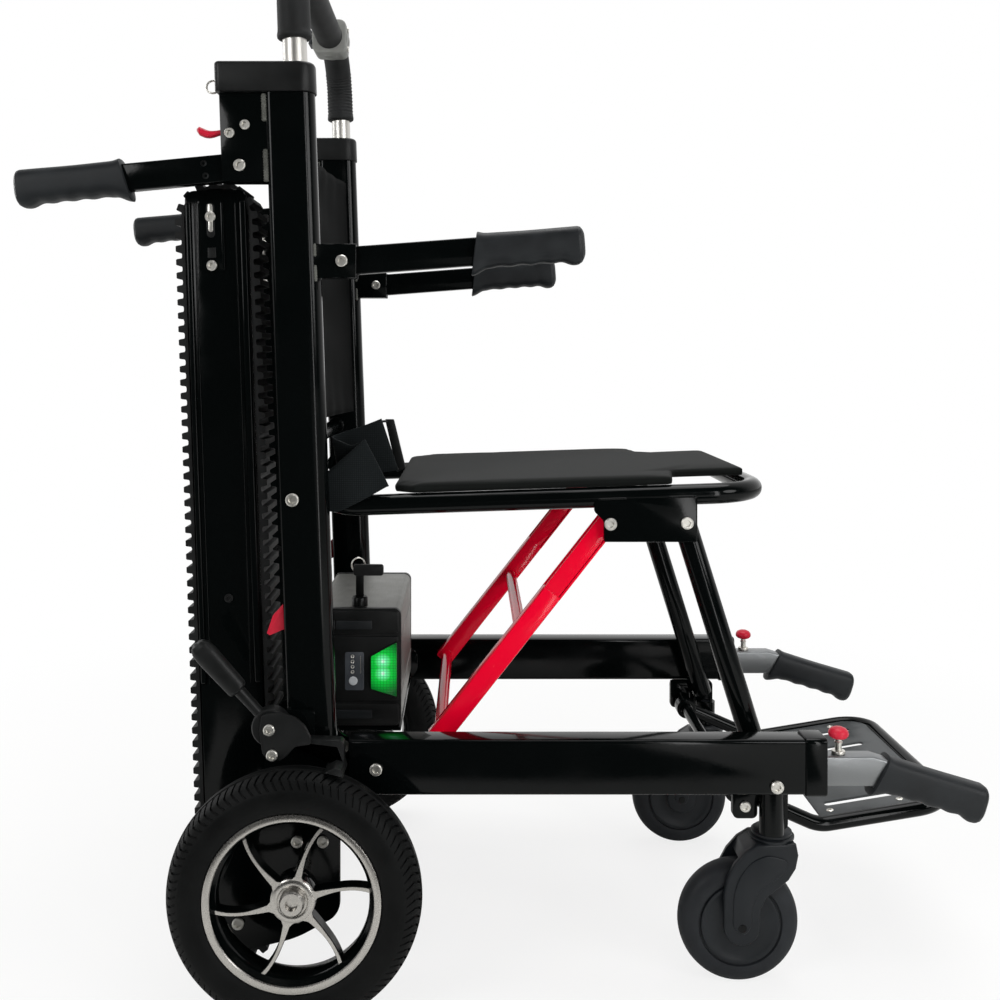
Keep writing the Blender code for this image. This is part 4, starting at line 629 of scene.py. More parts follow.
def makeCaps():
    rings = bmesh.new()
    for name, side in sides.items():
        y, low, half = side * post["y"], post["top"] + cap["gap"], cap["width"] / 2
        bm = block((-cap["rear"], y - half, low), (cap["front"], y + half, low + cap["height"]))
        for sign, reach, segments in ((1, cap["nose"], 12), (-1, cap["heel"], 5)):
            roundEdges(bm, reach, segments, 69, lambda e: spans(e, 2, 0.02) and e.verts[0].co.x * sign > 0)
        roundEdges(bm, cap["brow"], 4, 60,
                   lambda e: min(v.co.z for v in e.verts) > low + cap["height"] - 1e-4)
        roundEdges(bm, 0.0008, 2, 60, lambda e: max(v.co.z for v in e.verts) < low + 1e-4)
        for vert in bm.verts:
            vert.co.x += postX(vert.co.z)
        addPiece(bm, "postCap" + name.title(), satinAbs, "frame", ["post_cap_" + name], 50)
        eye = (postX(0.945) - cap["rear"] - 0.0035, side * cap["ringY"], cap["ringZ"])
        mergeInto(rings, tube(wireRing(eye, cap["ring"], -math.pi / 2, 28), 0.0011, 3))
    addPiece(rings, "capRings", zincBolt, "frame")
    print("posts done")


makeCaps()


# Cross bar, back sling and axle

sling = {"low": 0.585, "high": 0.900, "half": 0.1836, "forward": 0.012, "sag": 0.018, "thick": 0.0042}
crossBar = {"z": 0.565, "back": 0.014, "reach": 0.1845, "radius": 0.010, "weldY": 0.1838}
axle = {"z": 0.127, "reach": 0.262, "radius": 0.0075, "headY": 0.2615,
        "head": [(-0.004, 0), (-0.004, 0.0125), (0.0042, 0.0125), (0.0062, 0.0108), (0.0062, 0.0062),
                 (0.0018, 0.0056), (0.0018, 0)]}


def slingX(y, z):
    return postX(z) + sling["forward"] - sling["sag"] * (1 - (y / sling["half"]) ** 2) - sling["thick"] / 2


def makeBack():
    middle = (postX(crossBar["z"]) - crossBar["back"], crossBar["z"])
    bm = crossTube(middle, crossBar["reach"], crossBar["radius"], 8)
    for side in sides.values():
        weldRing(bm, middle, side * crossBar["weldY"], crossBar["radius"] + 0.0002, 0.0016, 40)
    addPiece(bm, "crossBar", blackEnamel, "frame", ["crossbar"])

    bm = bmesh.new()
    bmesh.ops.create_grid(bm, x_segments=54, y_segments=46, size=0.5)
    middle = (sling["low"] + sling["high"]) / 2
    for vert in bm.verts:
        across, up = vert.co.x * 2, vert.co.y * 2
        y, z = across * sling["half"], middle + up * (sling["high"] - sling["low"]) / 2
        pull = (0.0016 * math.sin(14 * up + 3 * across) * (1 - abs(across))
                + 0.0010 * math.sin(23 * across) * up ** 4)
        hem = 0.0009 * (abs(up) > 0.90) - 0.0006 * math.exp(-((abs(up) - 0.885) / 0.012) ** 2)
        vert.co = (slingX(y, z) + pull + hem, y, z)
    # the sling's near-black colour is partly painted shade between the posts
    piece = addPiece(bm, "backSling", slingClothShaded, "frame", ["back_panel"], 80)
    thicken(piece, sling["thick"])
    edge = [(slingX(y, middle), y) for y in (sling["half"] * i / 20 for i in range(21))]
    width = 2 * sum(math.dist(a, b) for a, b in zip(edge, edge[1:]))

    bm = bmesh.new()
    for side in sides.values():
        mergeInto(bm, turned(axle["head"], (axleX, side * axle["headY"], axle["z"]), (0, side, 0), 40))
    mergeInto(bm, crossTube((axleX, axle["z"]), axle["reach"], axle["radius"], 8))
    addPiece(bm, "axleBolts", turnedAlloy, "frame", ["wheel_axle"])
    print("back and axle done")


makeBack()


# Push handle: chromed tube, two rubber sleeves, control pod and rocker

push = {"radius": 0.0125, "forward": 0.006, "foot": 0.660, "top": 1.08, "bend": 0.060, "sleeve": 0.0172,
        "sleeveFoot": 0.989, "podY": (0.098, 0.136), "podSize": 0.044, "rocker": (0.024, 0.018, 0.006),
        "rockerBack": math.radians(9.5), "gap": 0.0003, "ribs": (0.007, 0.066),
        "clamp": [(0.0016, 0.0205), (0.0016, 0.0225), (0.0030, 0.0236), (0.0135, 0.0236), (0.0155, 0.0225),
                  (0.0155, 0.0205)]}


def handlePoint(y, z):
    return Vector((postX(z) + push["forward"], y, z))


def pacedRoute(route, step):        # the same line with a point at every step
    ends = [0.0]
    for a, b in zip(route, route[1:]):
        ends.append(ends[-1] + (b - a).length)
    count = max(2, round(ends[-1] / step))
    paced, k = [], 0
    for i in range(count + 1):
        at = ends[-1] * i / count
        while k < len(route) - 2 and ends[k + 1] < at:
            k += 1
        paced.append(route[k].lerp(route[k + 1], (at - ends[k]) / max(ends[k + 1] - ends[k], 1e-9)))
    return paced, ends[-1]


def makePushHandle():
    y, top = post["y"], push["top"]
    corners = [handlePoint(-y, push["foot"]), handlePoint(-y, top), handlePoint(y, top),
               handlePoint(y, push["foot"])]
    bm = tube(bentRoute(corners, push["bend"], 16), push["radius"], 10)
    addPiece(bm, "pushTube", chromeTube, "push_handle", ["push_handle_tube"])
    for name, end in (("right", push["podY"][0] - push["gap"]), ("left", push["podY"][1] + push["gap"])):
        side = sides[name]
        corners = [handlePoint(side * y, push["sleeveFoot"]), handlePoint(side * y, top),
                   handlePoint(end, top)]
        route, length = pacedRoute(bentRoute(corners, push["bend"], 16), 0.00115)
        shares = []
        for i in range(len(route)):
            run = length * i / (len(route) - 1)
            lip = 0.05 * math.exp(-((run - 0.004) / 0.0035) ** 2)
            close = 1 - 0.16 * max(0.0, 1 - run / 0.0022) ** 2
            ribbed = side > 0 and push["ribs"][0] < run < push["ribs"][1]
            shares.append((1 + lip + (0.028 * math.cos(i * math.tau / 4) if ribbed else 0.0)) * close)
        addPiece(tube(route, push["sleeve"], 10, shares), "pushSleeve" + name.title(), gripFoam,
                 "push_handle", ["push_grip_" + name], 75)


def makeControlPod():
    at, half, middle = handlePoint(0, push["top"]), push["podSize"] / 2, sum(push["podY"]) / 2
    bm = block((at.x - half, push["podY"][0], at.z - half), (at.x + half, push["podY"][1], at.z + half))
    roundEdges(bm, 0.0085, 5, 60, lambda e: spans(e, 1, 0.01))
    roundEdges(bm, 0.0022, 3, 50)
    for turn in (-1, 1):            # the clamp's two raised halves
        mergeInto(bm, turned(push["clamp"], (at.x, middle, at.z), (0, turn, 0), 48, True))
    addPiece(bm, "controlPod", podAbs, "push_handle", ["control_pod"])
    bm = bmesh.new()
    for rise in (-0.0125, 0.0125):
        socketBolt(bm, (at.x + half - 0.0002, middle, at.z + rise), (1, 0, 0), 0.0036, 0.0018)
    addPiece(bm, "podScrews", zincBolt, "push_handle")

    length, height, rise = push["rocker"]
    face = at.x - half - push["gap"]
    back = height / 2 * math.tan(push["rockerBack"])
    upper = [(back, height / 2), (rise, height / 2), (rise - 0.0009, height / 4)]
    outline = [(0, 0)] + upper + [(rise - 0.0015, 0)] + [(depth, -up) for depth, up in reversed(upper)]
    bm = plate([(face - depth, at.z + up) for depth, up in outline], middle - length / 2,
               middle + length / 2)
    roundEdges(bm, 0.0008, 2, 40, lambda e: max(v.co.x for v in e.verts) < face - back - 0.001)
    for up in (-0.0055, 0.0055):    # a raised pip at each end of the rocker
        mergeInto(bm, turned([(0, 0), (0, 0.0016), (0.0006, 0.0012), (0.0006, 0)],
                             (face - 0.0053, middle, at.z + up), (-1, 0, 0), 16))
    addPiece(bm, "driveRocker", paleAbs, "drive_switch", ["drive_switch"])
    print("push handle done")


makePushHandle()
makeControlPod()


# Hand grips, shared by the rear handles, arm rests and lift handles

grip = {"length": 0.114, "height": 0.0372, "width": 0.0305, "heel": 0.0062, "heelRun": 0.015, "fingers": 4,
        "fingerRun": (0.016, 0.100), "hollow": 0.0013, "pommel": 0.0030, "slant": 0.20, "deep": 0.06}


def gripShape(mouth, angle, y):
    upside = 1 if math.cos(angle) > 0 else -1
    runs = ([0.0, 0.0007] + [0.002 + 0.0022 * i for i in range(49)]
            + [0.1105, 0.1125, 0.1136, grip["length"]])
    start, end = grip["fingerRun"]

    def place(point, run):
        a, b = point
        under = max(0.0, -b / (grip["height"] / 2))
        heel = grip["heel"] * max(0.0, 1 - (run / grip["heelRun"]) ** 2) ** 2
        brow = 0.0018 * math.exp(-(run / 0.006) ** 2) * max(0.0, b / (grip["height"] / 2))
        wave = 0.0
        if start < run < end:
            turn = (run - start) / (end - start) * math.tau * grip["fingers"]
            wave = grip["hollow"] * (0.5 - 0.5 * math.cos(turn))
        pommel = grip["pommel"] * math.exp(-((run - 0.103) / 0.009) ** 2)
        shut = 1.0 if run < 0.108 else math.sqrt(max(0.0, 1 - ((run - 0.108) / 0.0072) ** 2)) * 0.86 + 0.14
        mouthEdge = 0.94 if run < 0.0003 else 1.0
        waist = 1 - 0.03 * math.exp(-((run - 0.055) / 0.035) ** 2)
        b = (b * waist - under * (heel - wave + pommel) + brow) * shut * mouthEdge
        x, z = along(mouth, angle, run + grip["slant"] * b * max(0.0, 1 - run / 0.035), upside * b)
        return Vector((x, y + a * waist * shut * mouthEdge, z))

    return drawnOut(ovalOutline(grip["width"], grip["height"], 3.1, 40), runs, place)


def barShape(line, height, width, y, roundStart, edge):
    top, bottom = [], []
    for i, point in enumerate(line):
        before = angleTo(line[i - 1], point) if i else angleTo(point, line[1])
        after = angleTo(point, line[i + 1]) if i + 1 < len(line) else before
        reach = height / 2 / math.cos((after - before) / 2)
        top.append(along(point, (before + after) / 2, 0, reach))
        bottom.append(along(point, (before + after) / 2, 0, -reach))
    start = []
    if roundStart:
        start = arc(line[0], height / 2, angleTo(line[0], line[1]) - math.pi / 2, -math.pi, 14)[1:-1]
    bm = plate(top + bottom[::-1] + start, y - width / 2, y + width / 2)
    roundEdges(bm, edge, 3, 50)
    return bm


carry = {"width": 0.015, "edge": 0.0022, "detents": ((0.0365, 0.0068), (0.0375, -0.0062)),
         "releasePivot": (-0.2488, 0.8905), "releaseReach": 0.0332, "releaseSize": (0.0135, 0.0086)}
rearBar = {"pivot": post["rearBolt"], "tilt": math.pi + math.radians(5.5), "length": 0.1195,
           "height": 0.0285}
armBar = {"pivot": post["armBolt"], "tilt": math.radians(4.3), "length": 0.1365, "height": 0.029}


def makeRelease(name, y):           # a red lever that thickens towards its tip
    start, reach = carry["releasePivot"], carry["releaseReach"]
    stations = [reach * i / 22 for i in range(23)] + [reach + 0.0028]

    def place(point, run):
        share = run / reach
        thin = 0.62 + 0.42 * max(0.0, min(1.0, (share - 0.45) / 0.4))
        shut = 0.35 if share > 1.01 else (0.6 if share < 0.001 else 1.0)
        wave = 0.0017 * math.sin(share * 6.6) * min(1.0, 3 * share) + 0.0035 * share
        return Vector((start[0] - run, y + point[0] * shut * (0.75 + 0.25 * share),
                       start[1] + wave + point[1] * thin * shut))

    addPiece(drawnOut(ovalOutline(*carry["releaseSize"], 2.5, 24), stations, place),
             "releaseLever" + name.title(), redNylon, "release_lever_" + name, ["release_lever_" + name],
             70)


def makeCarryHandles():
    for name, side in sides.items():
        y = side * post["y"]
        for kind, bar, node, gripNode, body in (
                ("rear", rearBar, "rear_handle_", "rear_grip_", "rear_handle_"),
                ("arm", armBar, "armrest_bar_", "armrest_grip_", "armrest_")):
            mouth, deep = [along(bar["pivot"], bar["tilt"], bar["length"] + more)
                           for more in (0, grip["deep"])]
            bm = barShape([bar["pivot"], deep], bar["height"], carry["width"], y, True, carry["edge"])
            addPiece(bm, kind + "Bar" + name.title(), blackEnamel, body + name, [node + name])
            addPiece(gripShape(mouth, bar["tilt"], y), kind + "Grip" + name.title(), gripNylon, body + name,
                     [gripNode + name], 70)
        bm = bmesh.new()
        for x, z in laid(rearBar["pivot"], rearBar["tilt"], carry["detents"]):      # seen as dark sockets
            for sign in (-1, 1):
                face = y + sign * (carry["width"] / 2 - 0.0004)
                mergeInto(bm, turned([(0, 0), (0.0006, 0.0022), (0.0006, 0.0033), (0, 0.0036)],
                                     (x, face, z), (0, sign, 0), 20))
        addPiece(bm, "rearDetents" + name.title(), darkSteel, "rear_handle_" + name)
        makeRelease(name, y)
    print("carry handles done")


makeCarryHandles()


# Lift handles, each held by a red spring knob

lift = {"rear": 0.130, "bend": 0.410, "z": 0.235, "tilt": -math.radians(17.0), "tail": 0.010,
        "height": 0.031, "width": 0.020, "edge": 0.0028, "knobX": 0.379, "gap": 0.0003,
        "knob": [(0.0150, 0), (0.0150, 0.0042), (0.0164, 0.0078), (0.0182, 0.0098), (0.0204, 0.0104),
                 (0.0232, 0.0098), (0.0254, 0.0080), (0.0270, 0.0046), (0.0276, 0)],
        "pin": [(0, 0), (0, 0.0068), (0.0016, 0.0072), (0.0030, 0.0066), (0.0034, 0.0034), (0.0100, 0.0032),
                (0.0106, 0.0040), (0.0124, 0.0040), (0.0130, 0.0032), (0.0156, 0.0032), (0.0156, 0)]}


def makeLiftHandles():
    bend = (lift["bend"], lift["z"])
    mouth, deep = [along(bend, lift["tilt"], lift["tail"] + more) for more in (0, grip["deep"])]
    for name, side in sides.items():
        y, body = side * post["y"], "lift_handle_" + name
        bm = barShape([(lift["rear"], lift["z"]), bend, deep], lift["height"], lift["width"], y, False,
                      lift["edge"])
        addPiece(bm, "liftBar" + name.title(), brushedAlloy, body, ["lift_bar_" + name])
        addPiece(gripShape(mouth, lift["tilt"], y), "liftGrip" + name.title(), gripNylon, body,
                 ["lift_grip_" + name], 70)
        foot = (lift["knobX"], y, lift["z"] + lift["height"] / 2 + lift["gap"])
        addPiece(turned(lift["knob"], foot, (0, 0, 1), 40), "knobHead" + name.title(), redNylon,
                 "lift_knob_" + name, ["lift_knob_" + name], 60)
        addPiece(turned(lift["pin"], foot, (0, 0, 1), 32), "knobPin" + name.title(), zincBolt,
                 "lift_knob_" + name)
    print("lift handles done")


makeLiftHandles()


# Main wheels: tyre with siped shoulders, black rim with a bright lip, machined spokes

wheel = {"y": 0.246, "radius": 0.127, "sipes": 92, "sipeDepth": 0.0022, "sipeStart": 0.1125,
         "sipeBend": 0.1218, "spokes": 6, "tipAngle": math.radians(8.0), "sweep": math.radians(8.0),
         "root": 0.0205, "tip": 0.0765, "face": 0.0142,
         "tyre": [(0.0190, 0.0885), (0.0207, 0.0888), (0.0214, 0.0902), (0.0228, 0.0922), (0.0242, 0.0962),
                  (0.0249, 0.1010), (0.0249, 0.1058), (0.0243, 0.1102), (0.0236, 0.1120), (0.0232, 0.1128),
                  (0.0206, 0.1180), (0.0170, 0.1215), (0.0122, 0.1243), (0.0074, 0.12605), (0.0062, 0.1248),
                  (0.0050, 0.1248), (0.0042, 0.12665)],
         "rim": [(-0.0205, 0.0882), (-0.0205, 0.0838), (-0.0185, 0.0806), (-0.0150, 0.0790),
                 (0.0020, 0.0752), (0.0080, 0.0750), (0.0150, 0.0768), (0.0186, 0.0806), (0.0196, 0.0808),
                 (0.0196, 0.0882)],
         "hub": [(-0.0150, 0.0082), (-0.0150, 0.0190), (-0.0120, 0.0215), (0.0080, 0.0228),
                 (0.0118, 0.0216), (0.0118, 0.0082)],
         "lip": [(0.0190, 0.0806), (0.0204, 0.0804), (0.0213, 0.0812), (0.0216, 0.0830), (0.0216, 0.0862),
                 (0.0211, 0.0876), (0.0200, 0.0882), (0.0190, 0.0880)],
         "boss": [(0.0112, 0.0138), (0.0144, 0.0140), (0.0152, 0.0150), (0.0154, 0.0176), (0.0150, 0.0208),
                  (0.0140, 0.0220), (0.0112, 0.0224)]}


def wheelPoint(centre, side, radius, angle, out):
    x, z = along((centre[0], centre[2]), angle, radius)
    return (x, centre[1] + side * out, z)


def sipeLean(radius):               # the angle by which a sipe has slanted at that radius
    if radius < wheel["sipeBend"]:
        return max(0.0, 0.055 * (radius - wheel["sipeStart"]) / 0.0118)
    return 0.055 - 0.05 * (radius - wheel["sipeBend"]) / 0.004


def tyreShape(centre):
    steps = 2 * wheel["sipes"]
    bm = turned(mirrored(wheel["tyre"], [(0, wheel["radius"])]), centre, (0, 1, 0), steps, True)
    middle = Vector(centre)
    for vert in bm.verts:           # every second row steps back, so the sipes are narrower than the blocks
        arm = vert.co - middle
        radius = math.hypot(arm.x, arm.z)
        turn = math.atan2(arm.z, arm.x)
        row = round((turn % math.tau) / (math.tau / steps)) % steps
        turn += (0.42 if row % 2 else 0.0) * math.tau / steps + sipeLean(radius)
        vert.co = middle + Vector((radius * math.cos(turn), arm.y, radius * math.sin(turn)))
    cuts = []
    for face in bm.faces:
        arm = face.calc_center_median() - middle
        radius, out = math.hypot(arm.x, arm.z), abs(arm.y)
        if 0.1128 < radius < 0.1262 and 0.0076 < out < 0.0236:
            place = ((math.atan2(arm.z, arm.x) - sipeLean(radius)) % math.tau) / (math.tau / steps)
            if place % 2 > 1.30 or place % 2 < 0.02:
                cuts.append(face)
    grown = bmesh.ops.extrude_face_region(bm, geom=cuts)
    for vert in newVerts(grown):
        arm = vert.co - middle
        vert.co -= Vector((arm.x, 0, arm.z)).normalized() * wheel["sipeDepth"]
    bmesh.ops.delete(bm, geom=[f for f in cuts if f.is_valid], context="FACES_ONLY")
    return bm


def addSpokes(bm, centre, side, out, depth, hubWidth, waistWidth, tipWidth):
    for spoke in range(wheel["spokes"]):
        base = math.tau * spoke / wheel["spokes"] + wheel["tipAngle"]
        if side > 0:
            base = math.pi - base - wheel["sweep"]
        edges = {1: [], -1: []}
        for share in (i / 12 for i in range(13)):
            radius = wheel["root"] + (wheel["tip"] - wheel["root"]) * share
            angle = base + wheel["sweep"] * (1 - share ** 2.2)
            width = hubWidth + (waistWidth - hubWidth) * min(1.0, share / 0.45)
            width += (tipWidth - waistWidth) * max(0.0, share - 0.8) / 0.2
            for sign, edge in edges.items():
                edge.append(wheelPoint(centre, side, radius, angle + sign * width / 2 / radius, out))
        pushOut(bm, [addFace(bm, edges[1] + edges[-1][::-1])], (0, side * depth, 0))


def makeWheels():
    for name, side in sides.items():
        centre, axis, body = (axleX, side * wheel["y"], wheel["radius"]), (0, side, 0), "wheel_" + name
        addPiece(tyreShape(centre), "tyre" + name.title(), tyreRubber, body, ["tyre_" + name],
                 34)
        bm = turned(wheel["rim"], centre, axis, 96, True)
        mergeInto(bm, turned(wheel["hub"], centre, axis, 64, True))
        addSpokes(bm, centre, side, wheel["face"] - 0.0006, -0.0125, 0.0082, 0.0044, 0.0054)
        addPiece(bm, "rim" + name.title(), blackEnamel, body, ["rim_" + name], 38)

        bm = turned(wheel["lip"], centre, axis, 128, True)
        mergeInto(bm, turned(wheel["boss"], centre, axis, 72, True))
        star = []
        for i in range(72):
            angle = math.tau * i / 72
            lobe = 0.5 + 0.5 * math.cos(wheel["spokes"] * (angle - wheel["tipAngle"] - wheel["sweep"]))
            turn = angle if side < 0 else math.pi - angle
            star.append(wheelPoint(centre, side, wheel["root"] + 0.0062 * lobe ** 2.2, turn,
                                   wheel["face"] - 0.0004))
        pushOut(bm, [addFace(bm, star)], (0, side * 0.0010, 0))
        addSpokes(bm, centre, side, wheel["face"] - 0.0007, 0.0012, 0.0070, 0.0030, 0.0038)
        addPiece(bm, "rimFaces" + name.title(), turnedAlloy, body, sharp=38)
    print("wheels done")


makeWheels()


# Folding seat frame, legs and the red strut frame

seat = {"pivot": post["seatBolt"], "low": (-0.130, 0.503), "front": (0.309, 0.5175), "tube": 0.011,
        "y": 0.170, "bend": 0.055, "bracketX": (0.1285, 0.2370), "bracketFoot": 0.466,
        "bracketY": (0.1765, 0.1815), "eyeY": 0.1558, "weldY": 0.1812,
        "eye": [(0, 0.0056), (0, 0.0125), (0.001, 0.0135), (0.0279, 0.0135), (0.0289, 0.0125),
                (0.0289, 0.0056)]}
leg = {"head": (0.226, 0.486), "foot": (0.3115, 0.2105), "radius": 0.0125, "y": 0.1637, "end": 0.010,
       "pinY": 0.1858}
strut = {"head": (0.1455, 0.485), "foot": (-0.0345, 0.2565), "y": 0.157, "height": 0.0215, "half": 0.010,
         "bar": 0.007, "barShare": 0.52, "channelShare": 0.33, "footReach": 0.1845}


def seatTubeZ(x):
    (lowX, lowZ), (frontX, frontZ) = seat["low"], seat["front"]
    return lowZ + (frontZ - lowZ) * (x - lowX) / (frontX - lowX)


def makeSeatFrame():
    spine = [(seat["pivot"][0] + 0.0101, seat["pivot"][1]), seat["low"], seat["front"]]
    bm = tube(bentLoop(spine, seat["y"], seat["bend"], 14), seat["tube"], 9)
    bolts = bmesh.new()
    rear, front = seat["bracketX"]
    foot = seat["bracketFoot"]
    inner, outer = seat["bracketY"]
    outline = [(rear + 0.010, foot), (front, foot), (front, seatTubeZ(front) - 0.001),
               (rear, seatTubeZ(rear) - 0.001), (rear, foot + 0.032), (rear + 0.010, foot + 0.022)]
    for side in sides.values():
        mergeInto(bm, turned(seat["eye"], (seat["pivot"][0], side * seat["eyeY"], seat["pivot"][1]),
                             (0, side, 0), 40, True))
        mergeInto(bm, slab(outline, side * inner, side * outer, 0.0022, 0.0007))
        for ends in ((rear + 0.004, rear + 0.034), (front - 0.030, front - 0.002)):
            start, end = [(x, side * seat["weldY"], seatTubeZ(x) - 0.0008) for x in ends]
            weldBead(bm, start, end, 0.0016)
        for x, z in (leg["head"], strut["head"]):
            sideBolt(bolts, (x, z), side * outer, side, 0.0066)
            mergeInto(bolts, tube([(x, side * 0.148, z), (x, side * outer, z)], 0.0045, 5))
    addPiece(bm, "seatTube", blackEnamel, "seat", ["seat_frame"])
    addPiece(bolts, "seatBolts", zincBolt, "seat")


def makeLegs():
    tilt, length = angleTo(leg["head"], leg["foot"]), math.dist(leg["head"], leg["foot"])
    ends = laid(leg["head"], tilt, [(-leg["end"], 0), (length + leg["end"], 0)])
    for name, side in sides.items():
        y = side * leg["y"]
        bm = tube([(x, y, z) for x, z in ends], leg["radius"], 10)
        roundEdges(bm, 0.0012, 2, 60)
        x, z = leg["foot"]
        mergeInto(bm, tube([(x, y, z), (x, side * leg["pinY"], z)], 0.005, 6))
        addPiece(bm, "frontLeg" + name.title(), blackEnamel, "legs", ["front_leg_" + name])


def makeStrut():                    # square tubes with an open channel at the head, and two cross bars
    head, foot = strut["head"], strut["foot"]
    tilt, length = angleTo(head, foot), math.dist(head, foot)
    half, step = strut["height"] / 2, length * strut["channelShare"]
    middle = along(head, tilt, length * strut["barShare"])
    box = laid(head, tilt, oblong(step, length + 0.0085, -half, half))
    web = laid(head, tilt, oblong(-0.0098, step + 0.004, -half, half - 0.003))
    lip = laid(head, tilt, oblong(0.004, step + 0.003, half - 0.0024, half))
    bm = bmesh.new()
    for side in sides.values():
        near, far = side * (strut["y"] - strut["half"]), side * (strut["y"] + strut["half"])
        for outline, start, end, edge in ((box, near, far, 0.0018),
                                          (web, far - side * 0.0042, far - side * 0.0012, 0.0005),
                                          (web, near + side * 0.0004, near + side * 0.0030, 0.0005),
                                          (lip, near, far - side * 0.0004, 0.0005)):
            mergeInto(bm, slab(outline, start, end, 0, edge))
        for place in (foot, middle):
            weldRing(bm, place, near - side * 0.0002, strut["bar"] + 0.0006, 0.0015, 30)
    mergeInto(bm, crossTube(foot, strut["footReach"], strut["bar"], 8))
    mergeInto(bm, crossTube(middle, strut["y"], strut["bar"], 8))
    addPiece(bm, "strutFrame", redEnamel, "strut", ["strut_frame"])
    print("seat frame, legs and strut done")


makeSeatFrame()
makeLegs()
makeStrut()


# Lower rails with their collars, lugs and stem tubes

rail = {"x": (-0.1265, 0.341), "z": (0.2125, 0.269), "width": 0.030, "edge": 0.0038, "collar": 0.022,
        "rise": 0.0016, "lugY": (0.1768, 0.1862), "lugTop": 0.2135, "stemX": 0.3188, "stemY": 0.166,
        "stem": (0.160, 0.190), "stemRadius": 0.0127, "bore": 0.0066, "ear": (0.286, 0.190), "rod": 0.007,
        "rodReach": 0.1764, "weldY": 0.1844}


def makeRails():
    (rear, front), (low, high) = rail["x"], rail["z"]
    half, grown, stemX = rail["width"] / 2, rail["rise"], rail["stemX"]
    (earX, earZ), (foot, head), radius = rail["ear"], rail["stem"], rail["stemRadius"]
    ear = [(earX - 0.013, rail["lugTop"]), (earX - 0.013, earZ - 0.013), (earX + 0.013, earZ - 0.013),
           (earX + 0.013, 0.2005), (stemX - 0.0123, 0.2005), (stemX - 0.0123, 0.165),
           (stemX + 0.0123, 0.165), (stemX + 0.0123, rail["lugTop"])]
    stem = [(foot, rail["bore"]), (foot, radius - 0.0012), (foot + 0.0012, radius), (head, radius),
            (head, rail["bore"])]
    bolts = bmesh.new()
    for name, side in sides.items():
        y = side * post["y"]
        bm = block((rear, y - half, low), (front + 0.002, y + half, high))
        roundEdges(bm, rail["edge"], 4, 60, lambda e: spans(e, 0, 0.1))
        roundEdges(bm, 0.0010, 2, 60)
        collar = block((front, y - half - grown, low - grown),
                       (front + rail["collar"], y + half + grown, high + grown))
        roundEdges(collar, 0.0050, 4, 60, lambda e: spans(e, 0, 0.01))
        roundEdges(collar, 0.0012, 3, 50)
        mergeInto(bm, collar)
        mergeInto(bm, slab(ear, side * rail["lugY"][0], side * rail["lugY"][1], 0.0058, 0.0008))
        mergeInto(bm, tube([(stemX - 0.0060, side * 0.1894, z) for z in (0.1640, 0.2140)], 0.0126, 10))
        mergeInto(bm, turned(stem, (stemX, side * rail["stemY"], 0), (0, 0, 1), 44, True))
        start, end = [(earX + reach, side * rail["weldY"], low - 0.0008) for reach in (-0.012, 0.012)]
        weldBead(bm, start, end, 0.0016)
        addPiece(bm, "rail" + name.title(), blackEnamel, "lower_frame", ["rail_" + name])
        sideBolt(bolts, (leg["foot"][0], leg["foot"][1] + 0.011), side * (post["y"] + half), side, 0.0066)
        sideBolt(bolts, rail["ear"], side * rail["lugY"][1], side, 0.0058)
        socketBolt(bolts, (0.008, y, low + 0.0006), (0, 0, -1), 0.0042, 0.0026)
    addPiece(bolts, "railBolts", zincBolt, "lower_frame")
    addPiece(crossTube(rail["ear"], rail["rodReach"], rail["rod"], 8), "footRod", blackEnamel,
             "lower_frame", ["footrest_rod"])
    print("rails done")


makeRails()


# Footrest: bent tube loop with a slotted tread plate on it

footrest = {"tube": 0.008, "y": 0.138, "knee": (0.378, 0.150), "front": (0.525, 0.174), "bend": 0.040,
            "plate": 0.003, "run": (0.006, 0.1413), "margin": 0.013, "slots": 5, "slot": 0.0110,
            "corner": 0.032, "slotCorner": 0.0046, "sit": 0.0015, "screwRuns": (0.020, 0.098),
            "screwY": 0.118, "eye": [(0.0096, 0.0077), (0.0096, 0.0116), (0.0086, 0.0126)]}


def makeFootLoop():
    pivot, knee, front = rail["ear"], footrest["knee"], footrest["front"]
    spine = [along(pivot, angleTo(pivot, knee), 0.0100), knee, front]
    bm = tube(bentLoop(spine, footrest["y"], footrest["bend"], 14), footrest["tube"], 8)
    for side in sides.values():
        mergeInto(bm, turned(mirrored(footrest["eye"]), (pivot[0], side * footrest["y"], pivot[1]),
                             (0, 1, 0), 36, True))
    addPiece(bm, "footLoop", blackEnamel, "footrest", ["footrest_loop"])


